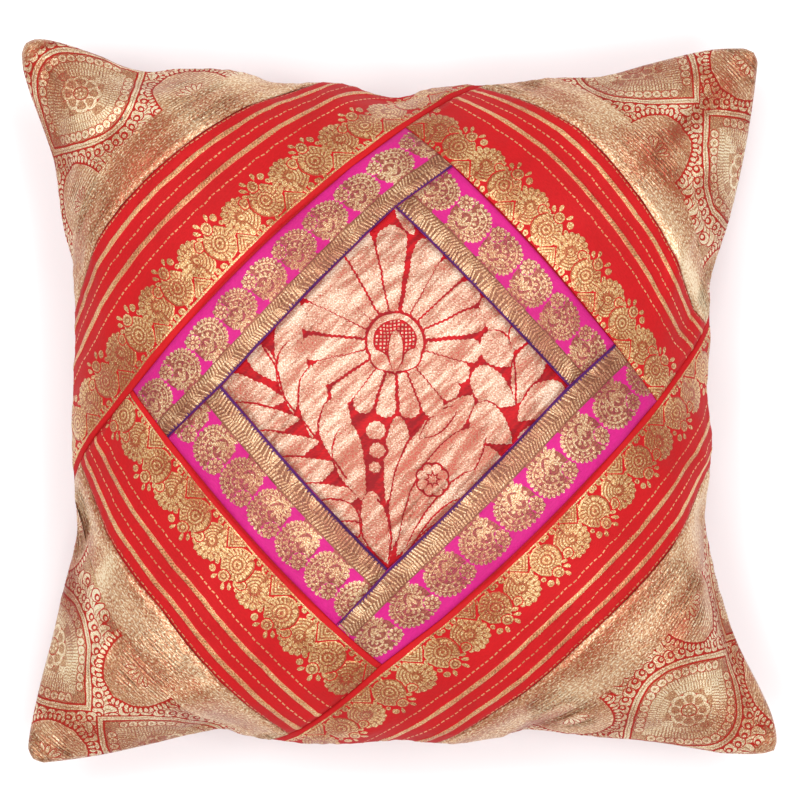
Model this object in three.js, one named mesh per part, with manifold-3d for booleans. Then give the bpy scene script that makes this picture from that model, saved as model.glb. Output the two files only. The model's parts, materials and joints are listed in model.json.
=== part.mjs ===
// Patchwork cushion: a filled cushion lying on its back, its front pieced from
// thirteen patches of sari border and brocade. Millimetres, +Z up, the pieced
// front faces up, +Y is the top edge of the front.
import * as THREE from "three";
import { mergeVertices } from "three/addons/utils/BufferGeometryUtils.js";
import Module from "manifold-3d";

// Sizes, mm
const COVER_SIDE = 400; // the cover's flat size, square
const HALF = COVER_SIDE / 2;
const SEAM_HEIGHT = 58; // of the side seam above the floor
const FRONT_CROWN = 88; // the front's rise over the side seam
const BACK_CROWN = 72; // the back's swell under the seam, before the floor flattens it
const FLOOR_ROUNDING = 7; // how gently the back meets its resting flat
const RESTING_RISE = 1.2; // whatever of the back is lower than this lies on the floor
const CLOTH = 2; // patch thickness
const CLEARANCE = 0.3; // between two solids
const GRID_STEPS = 28; // cells across the cover
const SWELL_POWER = 2.35; // shape of the crown across the flat cloth
const CORNER_FILL = 1.15; // how full the four ears are
const SPREAD = 0.19; // how far the filling turns the outer cloth down the sides
const SPREAD_FALL = 4;
const RIPPLE_REACH = 45; // how far a pucker of the side seam runs inward
const RIPPLE_DEPTH = 0.8; // height of a pucker against its depth in plan

// The four tips of the filled cushion in plan.
const TIPS = {
  tl: { x: -196.1, y: 187.8 },
  tr: { x: 185.8, y: 182.9 },
  br: { x: 196.1, y: -183.2 },
  bl: { x: -192.7, y: -187.8 },
};

// Each side between two tips: how far its middle is drawn in, and along the
// side the full drawn-in depth with its puckers.
const SIDES = {
  left: {
    from: "bl", to: "tl", inward: { x: 1, y: 0 }, bow: 27,
    rows: [
      { along: 0, depth: 0 }, { along: 13, depth: 0.1 }, { along: 39, depth: 5.5 },
      { along: 65, depth: 12.4 }, { along: 91, depth: 18.8 }, { along: 116, depth: 25.6 },
      { along: 129, depth: 26.4 }, { along: 142, depth: 25.2 }, { along: 168, depth: 24.2 },
      { along: 194, depth: 24.9 }, { along: 219, depth: 26.2 }, { along: 258, depth: 25.5 },
      { along: 271, depth: 22.2 }, { along: 284, depth: 19.5 }, { along: 310, depth: 16.2 },
      { along: 322, depth: 12.7 }, { along: 335, depth: 8.1 }, { along: 348, depth: 3.6 },
      { along: 361, depth: 0.3 }, { along: 376, depth: 0 },
    ],
  },
  right: {
    from: "br", to: "tr", inward: { x: -1, y: 0 }, bow: 32.5,
    rows: [
      { along: 0, depth: 0 }, { along: 9, depth: 0.3 }, { along: 22, depth: 3 },
      { along: 35, depth: 8.3 }, { along: 60, depth: 19.9 }, { along: 86, depth: 28 },
      { along: 112, depth: 33.4 }, { along: 125, depth: 34.6 }, { along: 138, depth: 32.7 },
      { along: 163, depth: 29.9 }, { along: 189, depth: 31.8 }, { along: 215, depth: 29.5 },
      { along: 241, depth: 28.8 }, { along: 253, depth: 26.4 }, { along: 266, depth: 21.4 },
      { along: 279, depth: 16.9 }, { along: 305, depth: 9.9 }, { along: 331, depth: 4.6 },
      { along: 356, depth: 0.8 }, { along: 366, depth: 0 },
    ],
  },
  top: {
    from: "tl", to: "tr", inward: { x: 0, y: -1 }, bow: 22,
    rows: [
      { along: 0, depth: 0 }, { along: 16, depth: 0.6 }, { along: 41, depth: 8 },
      { along: 54, depth: 13.5 }, { along: 67, depth: 15.9 }, { along: 80, depth: 14.2 },
      { along: 106, depth: 14.4 }, { along: 119, depth: 16.8 }, { along: 132, depth: 21.2 },
      { along: 157, depth: 20.4 }, { along: 170, depth: 21.8 }, { along: 183, depth: 26.2 },
      { along: 196, depth: 28.1 }, { along: 209, depth: 23.8 }, { along: 222, depth: 21.6 },
      { along: 247, depth: 20.3 }, { along: 273, depth: 16.8 }, { along: 299, depth: 15.5 },
      { along: 325, depth: 8.4 }, { along: 350, depth: 2 }, { along: 363, depth: 0.2 },
      { along: 382, depth: 0 },
    ],
  },
  bottom: {
    from: "bl", to: "br", inward: { x: 0, y: 1 }, bow: 11,
    rows: [
      { along: 0, depth: 0 }, { along: 12, depth: 0.4 }, { along: 38, depth: 3.7 },
      { along: 64, depth: 9 }, { along: 90, depth: 14.9 }, { along: 102, depth: 16.3 },
      { along: 115, depth: 12.5 }, { along: 141, depth: 9.1 }, { along: 167, depth: 8.3 },
      { along: 193, depth: 10 }, { along: 218, depth: 7.7 }, { along: 244, depth: 11 },
      { along: 257, depth: 14.4 }, { along: 270, depth: 13.3 }, { along: 296, depth: 9.9 },
      { along: 321, depth: 7.5 }, { along: 347, depth: 3.1 }, { along: 360, depth: 0.9 },
      { along: 389, depth: 0 },
    ],
  },
};

// Soft troughs (lift below 0) and ridges of the front, placed on the flat
// cloth: s to the right, t to the top, turn in degrees from s.
const FOLDS = [
  { s: 165, t: 161, along: 17, across: 9, turn: 45, lift: -4.5 }, // pinch in the top right ear
  { s: 160, t: 74, along: 30, across: 9, turn: 70, lift: 4.5 }, // ridge down the right side
  { s: 172, t: 45, along: 24, across: 9, turn: 75, lift: -3 },
  { s: 2, t: 184, along: 18, across: 10, turn: 60, lift: -4 }, // dip at the top edge
  { s: -66, t: 176, along: 22, across: 9, turn: 70, lift: -2.5 },
  { s: -125, t: 166, along: 20, across: 12, turn: 20, lift: 3.5 }, // puff in the top left ear
  { s: -143, t: 146, along: 26, across: 9, turn: 40, lift: -3 },
  { s: -182, t: 182, along: 16, across: 7, turn: 45, lift: -2.5 }, // folded top left tip
  { s: -110, t: -156, along: 24, across: 9, turn: 15, lift: 3 }, // ridge in the bottom left ear
  { s: -96, t: -176, along: 24, across: 9, turn: 60, lift: -4 },
  { s: -150, t: -120, along: 30, across: 11, turn: -40, lift: -2.5 },
  { s: 100, t: -158, along: 28, across: 10, turn: 40, lift: -2.5 },
  { s: 148, t: -128, along: 30, across: 10, turn: 60, lift: 3 },
  { s: 172, t: -63, along: 22, across: 9, turn: 5, lift: -4 },
  { s: 184, t: 9, along: 18, across: 9, turn: 10, lift: -2.5 },
  { s: -175, t: -67, along: 20, across: 9, turn: -5, lift: -3 },
];

// Where the side seam stands higher or lower than SEAM_HEIGHT, front and back
// together, placed on the flat cloth.
const RIM_LIFTS = [
  { s: -200, t: 200, reach: 60, lift: 6 },
  { s: 200, t: 200, reach: 60, lift: -5 },
  { s: 200, t: -200, reach: 60, lift: 3 },
  { s: -200, t: -200, reach: 60, lift: -6 },
  { s: -110, t: 200, reach: 32, lift: -3.5 },
  { s: -60, t: 200, reach: 25, lift: 2.5 },
  { s: 2, t: 200, reach: 28, lift: -4 },
  { s: 90, t: 200, reach: 40, lift: 2.5 },
  { s: 200, t: 90, reach: 30, lift: 3 },
  { s: 200, t: 10, reach: 30, lift: -2.5 },
  { s: 200, t: -65, reach: 25, lift: -4 },
  { s: -200, t: -60, reach: 25, lift: -3.5 },
  { s: -200, t: 50, reach: 45, lift: 2.5 },
  { s: -92, t: -200, reach: 28, lift: -4 },
  { s: 0, t: -200, reach: 45, lift: 2.5 },
  { s: 66, t: -200, reach: 25, lift: -3.5 },
];

// Seam corners on the flat cloth. The first letters name the strip ring,
// then the end of the strip they stand at.
const P = {
  centreTop: { s: 2.5, t: 106 }, centreRight: { s: 94.7, t: 10.7 },
  centreBottom: { s: -4.4, t: -80.5 }, centreLeft: { s: -90.5, t: 10.6 },
  innerTlLeft: { s: -118.5, t: -14.3 }, innerTlTop: { s: 30.9, t: 128.9 },
  innerBrBottom: { s: -28.4, t: -107.3 }, innerBrRight: { s: 120.6, t: 30.7 },
  outerTlLeft: { s: -144, t: 6.6 }, outerTlTop: { s: 7.6, t: 155.6 },
  outerBrBottom: { s: -9.4, t: -133.8 }, outerBrRight: { s: 148.9, t: 0.9 },
  edgeLeft: { s: -200, t: -43 }, edgeTop: { s: 51, t: 200 },
  edgeBottom: { s: -70, t: -200 }, edgeRight: { s: 200, t: 49 },
  ringTlLeft: { s: -200, t: 49.5 }, ringTlTop: { s: -37, t: 200 },
  ringBrRight: { s: 200, t: -36 }, ringBrBottom: { s: 17, t: -200 },
};
const RING_TL_MIDDLE = { s: -121.5, t: 121 };
const RING_BR_MIDDLES = [{ s: 114.4, t: -102.9 }, { s: 94.7, t: -119.7 }, { s: 75.9, t: -138.2 }];
const RING_TR_MIDDLES = [
  { s: 95.6, t: 150.4 }, { s: 123.8, t: 115.5 }, { s: 145.9, t: 89.9 }, { s: 178, t: 50 },
];
const RING_BL_MIDDLES = [{ s: -160, t: -67.5 }, { s: -120.5, t: -105.8 }, { s: -84, t: -153 }];
const RING_TR_START = { s: 46.8, t: 196.7 }; // where the top right outer seam meets the long strip
const RING_TR_END = { s: 193.5, t: 43.5 };
const RING_BL_START = { s: -188.5, t: -33 };
const RING_BL_END = { s: -60, t: -188.5 };

// From the flat cloth to the filled shape
const clamp01 = (value) => Math.min(1, Math.max(0, value));

/** Smooth curve through the rows of one side, at the fraction f of its run. */
function sideDepth(rows, f) {
  const run = rows[rows.length - 1].along;
  const at = clamp01(f) * run;
  let i = 0;
  while (i < rows.length - 2 && rows[i + 1].along <= at) i += 1;
  const slope = (k) => {
    const a = rows[Math.max(0, k - 1)];
    const b = rows[Math.min(rows.length - 1, k + 1)];
    return (b.depth - a.depth) / (b.along - a.along);
  };
  const a = rows[i];
  const b = rows[i + 1];
  const h = b.along - a.along;
  const w = (at - a.along) / h;
  return (2 * w ** 3 - 3 * w ** 2 + 1) * a.depth + (w ** 3 - 2 * w ** 2 + w) * h * slope(i)
    + (-2 * w ** 3 + 3 * w ** 2) * b.depth + (w ** 3 - w ** 2) * h * slope(i + 1);
}

const bowDepth = (side, f) => side.bow * Math.sin(Math.PI * clamp01(f)) ** 1.5;
const ripple = (side, f) => sideDepth(side.rows, f) - bowDepth(side, f);

/** Plan place on a side's smooth bow. */
function onSide(side, f) {
  const a = TIPS[side.from];
  const b = TIPS[side.to];
  const depth = bowDepth(side, f);
  return {
    x: a.x + (b.x - a.x) * f + depth * side.inward.x,
    y: a.y + (b.y - a.y) * f + depth * side.inward.y,
  };
}

/** The flat place u pressed towards the side, as the filling turns the cloth down. */
function ease(u, v) {
  const c = SPREAD * (1 - v * v);
  return u * (1 + c) - c * Math.sign(u) * Math.abs(u) ** (SPREAD_FALL + 1);
}

const fade = (distance, reach) => {
  const w = clamp01(1 - distance / reach);
  return w * w * (3 - 2 * w);
};

/** Plan place (x, y) of a place (s, t) on the flat cloth. */
function plan(s, t) {
  const u = s / HALF;
  const v = t / HALF;
  const wa = (1 + ease(u, v)) / 2;
  const wb = (1 + ease(v, u)) / 2;
  const left = onSide(SIDES.left, wb);
  const right = onSide(SIDES.right, wb);
  const top = onSide(SIDES.top, wa);
  const bottom = onSide(SIDES.bottom, wa);
  const blend = (axis) => left[axis] * (1 - wa) + right[axis] * wa
    + bottom[axis] * (1 - wb) + top[axis] * wb
    - TIPS.bl[axis] * (1 - wa) * (1 - wb) - TIPS.br[axis] * wa * (1 - wb)
    - TIPS.tl[axis] * (1 - wa) * wb - TIPS.tr[axis] * wa * wb;
  const x = blend("x") + ripple(SIDES.left, wb) * fade(HALF + s, RIPPLE_REACH)
    - ripple(SIDES.right, wb) * fade(HALF - s, RIPPLE_REACH);
  const y = blend("y") + ripple(SIDES.bottom, wa) * fade(HALF + t, RIPPLE_REACH)
    - ripple(SIDES.top, wa) * fade(HALF - t, RIPPLE_REACH);
  return { x, y };
}

/** Swell of the filling, 1 at the middle and 0 on the side seam. */
function swell(s, t) {
  const e = 1 - Math.abs(s / HALF) ** SWELL_POWER;
  const f = 1 - Math.abs(t / HALF) ** SWELL_POWER;
  if (e <= 1e-6 || f <= 1e-6) return 0;
  return (e ** -CORNER_FILL + f ** -CORNER_FILL - 1) ** (-1 / CORNER_FILL);
}

/** Height that the folds and the side puckers add to the front. */
function foldLift(s, t) {
  let lift = 0;
  for (const fold of FOLDS) {
    const a = THREE.MathUtils.degToRad(fold.turn);
    const du = (s - fold.s) * Math.cos(a) + (t - fold.t) * Math.sin(a);
    const dv = (t - fold.t) * Math.cos(a) - (s - fold.s) * Math.sin(a);
    lift += fold.lift * Math.exp(-((du / fold.along) ** 2) - (dv / fold.across) ** 2);
  }
  const pucker = (side, f, distance) => -RIPPLE_DEPTH * ripple(side, f)
    * fade(distance, RIPPLE_REACH) * clamp01(distance / 15);
  lift += pucker(SIDES.left, (t / HALF + 1) / 2, HALF + s);
  lift += pucker(SIDES.right, (t / HALF + 1) / 2, HALF - s);
  lift += pucker(SIDES.top, (s / HALF + 1) / 2, HALF - t);
  lift += pucker(SIDES.bottom, (s / HALF + 1) / 2, HALF + t);
  const seam = Math.min(HALF - Math.abs(s), HALF - Math.abs(t));
  return lift * clamp01(seam / 15);
}

/** Height of the side seam, carried some way in over the cloth. */
function rimHeight(s, t) {
  let height = SEAM_HEIGHT;
  for (const { s: rimS, t: rimT, reach, lift } of RIM_LIFTS) {
    height += lift * Math.exp(-(((s - rimS) ** 2 + (t - rimT) ** 2) / reach ** 2));
  }
  return height;
}

function frontPoint(s, t) {
  const { x, y } = plan(s, t);
  return new THREE.Vector3(x, y, rimHeight(s, t) + FRONT_CROWN * swell(s, t) + foldLift(s, t));
}

function backPoint(s, t) {
  const { x, y } = plan(s, t);
  const free = rimHeight(s, t) - BACK_CROWN * swell(s, t);
  // a soft landing on the floor, then exactly 0 over the resting flat
  const z = free >= FLOOR_ROUNDING ? free
    : Math.max(0, free + FLOOR_ROUNDING) ** 2 / (4 * FLOOR_ROUNDING);
  return new THREE.Vector3(x, y, z < RESTING_RISE ? 0 : z);
}

/** Outward unit normal of the front. */
function frontNormal(s, t) {
  const h = 2;
  const inside = (value) => Math.min(HALF, Math.max(-HALF, value));
  const ds = frontPoint(inside(s + h), t).sub(frontPoint(inside(s - h), t));
  const dt = frontPoint(s, inside(t + h)).sub(frontPoint(s, inside(t - h)));
  return ds.cross(dt).normalize();
}

const frontUnder = (s, t, depth) => frontPoint(s, t).addScaledVector(frontNormal(s, t), -depth);

// Closed meshes
const gridAt = (i) => -HALF + (COVER_SIDE * i) / GRID_STEPS;

/** Closed geometry between an upper and a lower function of (s, t). */
function between(upper, lower, sharedRim) {
  const n = GRID_STEPS;
  const points = [];
  const sheet = (make) => {
    const first = points.length;
    for (let j = 0; j <= n; j += 1) {
      for (let i = 0; i <= n; i += 1) points.push(make(gridAt(i), gridAt(j)));
    }
    return (i, j) => first + j * (n + 1) + i;
  };
  const onRim = (i, j) => i === 0 || j === 0 || i === n || j === n;
  const up = sheet(upper);
  const lowOwn = sheet(lower);
  const low = (i, j) => (sharedRim && onRim(i, j) ? up(i, j) : lowOwn(i, j));
  const faces = [];
  for (let j = 0; j < n; j += 1) {
    for (let i = 0; i < n; i += 1) {
      const rising = (i < n / 2) === (j < n / 2);
      const quad = [[i, j], [i + 1, j], [i + 1, j + 1], [i, j + 1]];
      const cut = rising ? [[0, 1, 2], [0, 2, 3]] : [[0, 1, 3], [1, 2, 3]];
      for (const [a, b, c] of cut) {
        faces.push(up(...quad[a]), up(...quad[b]), up(...quad[c]));
        faces.push(low(...quad[a]), low(...quad[c]), low(...quad[b]));
      }
    }
  }
  if (!sharedRim) {
    const rim = [];
    for (let i = 0; i < n; i += 1) rim.push([i, 0]);
    for (let j = 0; j < n; j += 1) rim.push([n, j]);
    for (let i = n; i > 0; i -= 1) rim.push([i, n]);
    for (let j = n; j > 0; j -= 1) rim.push([0, j]);
    rim.forEach((here, k) => {
      const next = rim[(k + 1) % rim.length];
      faces.push(low(...here), low(...next), up(...next));
      faces.push(low(...here), up(...next), up(...here));
    });
  }
  const geometry = new THREE.BufferGeometry();
  geometry.setAttribute("position", new THREE.Float32BufferAttribute(
    points.flatMap((p) => [p.x, p.y, p.z]), 3));
  geometry.setIndex(faces);
  return dropUnused(geometry);
}

/** The geometry with only the points its faces use. */
function dropUnused(geometry) {
  const position = geometry.getAttribute("position");
  const index = geometry.getIndex().array;
  const place = new Map();
  const kept = [];
  const faces = [];
  for (const old of index) {
    if (!place.has(old)) {
      place.set(old, kept.length / 3);
      kept.push(position.getX(old), position.getY(old), position.getZ(old));
    }
    faces.push(place.get(old));
  }
  const out = new THREE.BufferGeometry();
  out.setAttribute("position", new THREE.Float32BufferAttribute(kept, 3));
  out.setIndex(faces);
  return out;
}

// Seams in plan
const SEAM_STEP = 14;
const PAST_END = 160; // how far a seam's cut runs on past its ends
const FAR = 420; // how far a cut reaches to its side

/** Plan places along straight flat runs through the given flat corners. */
function runInPlan(corners) {
  const out = [];
  corners.forEach((corner, k) => {
    if (k === 0) return;
    const before = corners[k - 1];
    const length = Math.hypot(corner.s - before.s, corner.t - before.t);
    const steps = Math.max(1, Math.round(length / SEAM_STEP));
    for (let i = k === 1 ? 0 : 1; i <= steps; i += 1) {
      const w = i / steps;
      out.push(plan(before.s + (corner.s - before.s) * w, before.t + (corner.t - before.t) * w));
    }
  });
  const beyond = (a, b) => {
    const d = Math.hypot(a.x - b.x, a.y - b.y);
    return { x: a.x + ((a.x - b.x) / d) * PAST_END, y: a.y + ((a.y - b.y) / d) * PAST_END };
  };
  return [beyond(out[0], out[1]), ...out, beyond(out[out.length - 1], out[out.length - 2])];
}

const TOWARDS = {
  tl: { x: -Math.SQRT1_2, y: Math.SQRT1_2 }, tr: { x: Math.SQRT1_2, y: Math.SQRT1_2 },
  br: { x: Math.SQRT1_2, y: -Math.SQRT1_2 }, bl: { x: -Math.SQRT1_2, y: -Math.SQRT1_2 },
};

// The order in which the front is taken apart, from the corners inwards: each
// seam parts the patch named from all that is left.
const SEAMS = [
  { patch: "corner_tl", side: "tl", through: [P.ringTlLeft, RING_TL_MIDDLE, P.ringTlTop] },
  { patch: "corner_br", side: "br", through: [P.ringBrRight, ...RING_BR_MIDDLES, P.ringBrBottom] },
  { patch: "outer_strip_tl", side: "tl", through: [P.edgeLeft, P.outerTlLeft, P.outerTlTop, P.edgeTop] },
  { patch: "outer_strip_br", side: "br", through: [P.edgeBottom, P.outerBrBottom, P.outerBrRight, P.edgeRight] },
  { patch: "corner_tr", side: "tr", through: [RING_TR_START, ...RING_TR_MIDDLES, RING_TR_END] },
  { patch: "corner_bl", side: "bl", through: [RING_BL_START, ...RING_BL_MIDDLES, RING_BL_END] },
  { patch: "outer_strip_tr", side: "tr", through: [P.outerTlTop, P.outerBrRight] },
  { patch: "outer_strip_bl", side: "bl", through: [P.outerTlLeft, P.outerBrBottom] },
  { patch: "inner_strip_tl", side: "tl", through: [P.innerTlLeft, P.centreLeft, P.centreTop, P.innerTlTop] },
  { patch: "inner_strip_br", side: "br", through: [P.innerBrBottom, P.centreBottom, P.centreRight, P.innerBrRight] },
  { patch: "inner_strip_tr", side: "tr", through: [P.centreTop, P.centreRight] },
  { patch: "inner_strip_bl", side: "bl", through: [P.centreLeft, P.centreBottom] },
];
const LAST_PATCH = "flower_panel";

const PRISM_TOP = 260;
const PRISM_BOTTOM = -40;

/** Upright closed solid over all that lies beyond a seam, shifted by some mm. */
function beyondSeam(seam, shift) {
  const way = TOWARDS[seam.side];
  const run = runInPlan(seam.through).map((p) => ({ x: p.x + way.x * shift, y: p.y + way.y * shift }));
  const first = run[0];
  const last = run[run.length - 1];
  const outline = [...run, { x: last.x + way.x * FAR, y: last.y + way.y * FAR },
    { x: first.x + way.x * FAR, y: first.y + way.y * FAR }];
  const shape = new THREE.Shape(outline.map((p) => new THREE.Vector2(p.x, p.y)));
  const geometry = new THREE.ExtrudeGeometry(shape, {
    depth: PRISM_TOP - PRISM_BOTTOM, bevelEnabled: false, steps: 1,
  });
  geometry.translate(0, 0, PRISM_BOTTOM);
  geometry.deleteAttribute("normal");
  geometry.deleteAttribute("uv");
  return toManifold(mergeVertices(geometry, 1e-4));
}

// The solids
const wasm = await Module();
wasm.setup();

function toManifold(geometry) {
  const mesh = new wasm.Mesh({
    numProp: 3,
    vertProperties: new Float32Array(geometry.getAttribute("position").array),
    triVerts: new Uint32Array(geometry.getIndex().array),
  });
  return new wasm.Manifold(mesh);
}

function toGeometry(solid) {
  const mesh = solid.getMesh();
  const geometry = new THREE.BufferGeometry();
  geometry.setAttribute("position", new THREE.Float32BufferAttribute(mesh.vertProperties, 3));
  geometry.setIndex([...mesh.triVerts]);
  return geometry;
}

const CLOTHS = [
  { start: "corner", color: 0xc79a6b, roughness: 0.45, metalness: 0.35 },
  { start: "outer_strip", color: 0xd3222e, roughness: 0.6, metalness: 0 },
  { start: "inner_strip", color: 0xd9489a, roughness: 0.55, metalness: 0.1 },
  { start: "flower", color: 0xd98c74, roughness: 0.5, metalness: 0.2 },
  { start: "cushion", color: 0xc81a28, roughness: 0.7, metalness: 0 },
];

function addSolid(group, name, geometry) {
  const { color, roughness, metalness } = CLOTHS.find((cloth) => name.startsWith(cloth.start));
  geometry.computeVertexNormals();
  const material = new THREE.MeshStandardMaterial({ color, roughness, metalness });
  const mesh = new THREE.Mesh(geometry, material);
  mesh.name = name;
  group.add(mesh);
}

/** Moves everything so that the middle of its outline stands over the origin. */
function centre(group) {
  const box = new THREE.Box3().setFromObject(group);
  const middle = box.getCenter(new THREE.Vector3());
  group.children.forEach((mesh) => mesh.geometry.translate(-middle.x, -middle.y, -box.min.z));
}

function buildCushion() {
  const group = new THREE.Group();
  group.name = "patchwork_cushion";
  const rimDepth = CLOTH + CLEARANCE;
  addSolid(group, "cushion_body", between((s, t) => frontUnder(s, t, rimDepth), backPoint, true));
  let left = toManifold(between(frontPoint, (s, t) => frontUnder(s, t, CLOTH), false));
  for (const seam of SEAMS) {
    const patch = left.intersect(beyondSeam(seam, CLEARANCE / 2));
    addSolid(group, seam.patch, toGeometry(patch));
    left = left.subtract(beyondSeam(seam, -CLEARANCE / 2));
  }
  addSolid(group, LAST_PATCH, toGeometry(left));
  centre(group);
  return group;
}

export default buildCushion();
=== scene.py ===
"""Patchwork cushion cover on its filled form, lying on its back.

Pattern work is in millimetres on the flat cloth, s to the right and t to the top.
The filled form turns a place on the flat cloth into metres in the scene.
"""

import json
import logging
import math
from dataclasses import dataclass, field
from enum import Enum
from typing import Callable, NamedTuple

import bpy
import numpy as np
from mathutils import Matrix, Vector
from mathutils.geometry import delaunay_2d_cdt

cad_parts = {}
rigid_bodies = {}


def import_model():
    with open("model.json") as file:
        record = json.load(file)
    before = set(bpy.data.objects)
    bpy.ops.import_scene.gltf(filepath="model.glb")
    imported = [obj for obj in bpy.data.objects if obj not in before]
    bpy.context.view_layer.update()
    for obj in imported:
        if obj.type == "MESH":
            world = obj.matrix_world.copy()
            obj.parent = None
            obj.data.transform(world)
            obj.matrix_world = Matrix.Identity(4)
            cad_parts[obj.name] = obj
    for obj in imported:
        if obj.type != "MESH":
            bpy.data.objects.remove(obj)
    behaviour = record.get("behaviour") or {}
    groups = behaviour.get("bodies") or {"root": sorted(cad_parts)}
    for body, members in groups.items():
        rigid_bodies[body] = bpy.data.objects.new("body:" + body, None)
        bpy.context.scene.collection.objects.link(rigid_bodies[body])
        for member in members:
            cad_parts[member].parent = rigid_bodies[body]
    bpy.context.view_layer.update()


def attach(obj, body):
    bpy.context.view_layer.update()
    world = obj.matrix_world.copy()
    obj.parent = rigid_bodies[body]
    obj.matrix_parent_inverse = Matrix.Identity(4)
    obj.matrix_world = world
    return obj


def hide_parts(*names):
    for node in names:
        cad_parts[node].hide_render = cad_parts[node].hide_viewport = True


LOG = logging.getLogger("cushion")
MM = 0.001
COVER_SIDE = 400.0  # the cover's flat size, square
HALF = COVER_SIDE / 2
CLOTH = 2.0  # patch thickness, with its turned-in edges
CLEARANCE = 0.3  # between the patches and the form
UV_NAME = "cloth"  # millimetres along the threads of each cloth
# Painted highlight and shade: how much lighter or darker each point's colour is painted, as where the
# cloth turns towards or away from the light
PAINTED_SHINE_NAME = "painted_shine"  # how far the cloth turns towards the light

Points = np.ndarray


class Flat(NamedTuple):
    """A place on the flat cloth, mm."""

    s: float
    t: float


class Tip(NamedTuple):
    """A tip of the filled cushion in plan, mm."""

    x: float
    y: float


class Drawn(NamedTuple):
    """How far a side is drawn in at one place along it, mm."""

    along: float
    depth: float


class Fold(NamedTuple):
    """A soft ridge (lift above 0) or trough of the front, turn in degrees from s."""

    s: float
    t: float
    along: float
    across: float
    turn: float
    lift: float


class RimLift(NamedTuple):
    """Where the side seam stands higher or lower."""

    s: float
    t: float
    reach: float
    lift: float


TIP_TL = Tip(-196.1, 187.8)
TIP_TR = Tip(185.8, 182.9)
TIP_BR = Tip(196.1, -183.2)
TIP_BL = Tip(-192.7, -187.8)

LEFT_ROWS = (
    Drawn(0, 0), Drawn(13, 0.1), Drawn(39, 5.5), Drawn(65, 12.4), Drawn(91, 18.8),
    Drawn(116, 25.6), Drawn(129, 26.4), Drawn(142, 25.2), Drawn(168, 24.2), Drawn(194, 24.9),
    Drawn(219, 26.2), Drawn(258, 25.5), Drawn(271, 22.2), Drawn(284, 19.5), Drawn(310, 16.2),
    Drawn(322, 12.7), Drawn(335, 8.1), Drawn(348, 3.6), Drawn(361, 0.3), Drawn(376, 0),
)
RIGHT_ROWS = (
    Drawn(0, 0), Drawn(9, 0.3), Drawn(22, 3), Drawn(35, 8.3), Drawn(60, 19.9), Drawn(86, 28),
    Drawn(112, 33.4), Drawn(125, 34.6), Drawn(138, 32.7), Drawn(163, 29.9), Drawn(189, 31.8),
    Drawn(215, 29.5), Drawn(241, 28.8), Drawn(253, 26.4), Drawn(266, 21.4), Drawn(279, 16.9),
    Drawn(305, 9.9), Drawn(331, 4.6), Drawn(356, 0.8), Drawn(366, 0),
)
TOP_ROWS = (
    Drawn(0, 0), Drawn(16, 0.6), Drawn(41, 8), Drawn(54, 13.5), Drawn(67, 15.9),
    Drawn(80, 14.2), Drawn(106, 14.4), Drawn(119, 16.8), Drawn(132, 21.2), Drawn(157, 20.4),
    Drawn(170, 21.8), Drawn(183, 26.2), Drawn(196, 28.1), Drawn(209, 23.8), Drawn(222, 21.6),
    Drawn(247, 20.3), Drawn(273, 16.8), Drawn(299, 15.5), Drawn(325, 8.4), Drawn(350, 2),
    Drawn(363, 0.2), Drawn(382, 0),
)
BOTTOM_ROWS = (
    Drawn(0, 0), Drawn(12, 0.4), Drawn(38, 3.7), Drawn(64, 9), Drawn(90, 14.9),
    Drawn(102, 16.3), Drawn(115, 12.5), Drawn(141, 9.1), Drawn(167, 8.3), Drawn(193, 10),
    Drawn(218, 7.7), Drawn(244, 11), Drawn(257, 14.4), Drawn(270, 13.3), Drawn(296, 9.9),
    Drawn(321, 7.5), Drawn(347, 3.1), Drawn(360, 0.9), Drawn(389, 0),
)

MAIN_FOLDS = (
    Fold(165, 161, 17, 9, 45, -4.5),
    Fold(160, 74, 30, 9, 70, 4.5),
    Fold(172, 45, 24, 9, 75, -3),
    Fold(2, 184, 18, 10, 60, -4),
    Fold(-66, 176, 22, 9, 70, -2.5),
    Fold(-125, 166, 20, 12, 20, 3.5),
    Fold(-143, 146, 26, 9, 40, -3),
    Fold(-182, 182, 16, 7, 45, -2.5),
    Fold(-110, -156, 24, 9, 15, 3),
    Fold(-96, -176, 24, 9, 60, -4),
    Fold(-150, -120, 30, 11, -40, -2.5),
    Fold(100, -158, 28, 10, 40, -2.5),
    Fold(148, -128, 30, 10, 60, 3),
    Fold(172, -63, 22, 9, 5, -4),
    Fold(184, 9, 18, 9, 10, -2.5),
    Fold(-175, -67, 20, 9, -5, -3),
)
RIM_LIFTS = (
    RimLift(-200, 200, 60, 6),
    RimLift(200, 200, 60, -5),
    RimLift(200, -200, 60, 3),
    RimLift(-200, -200, 60, -6),
    RimLift(-110, 200, 32, -3.5),
    RimLift(-60, 200, 25, 2.5),
    RimLift(2, 200, 28, -4),
    RimLift(90, 200, 40, 2.5),
    RimLift(200, 90, 30, 3),
    RimLift(200, 10, 30, -2.5),
    RimLift(200, -65, 25, -4),
    RimLift(-200, -60, 25, -3.5),
    RimLift(-200, 50, 45, 2.5),
    RimLift(-92, -200, 28, -4),
    RimLift(0, -200, 45, 2.5),
    RimLift(66, -200, 25, -3.5),
)

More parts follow.
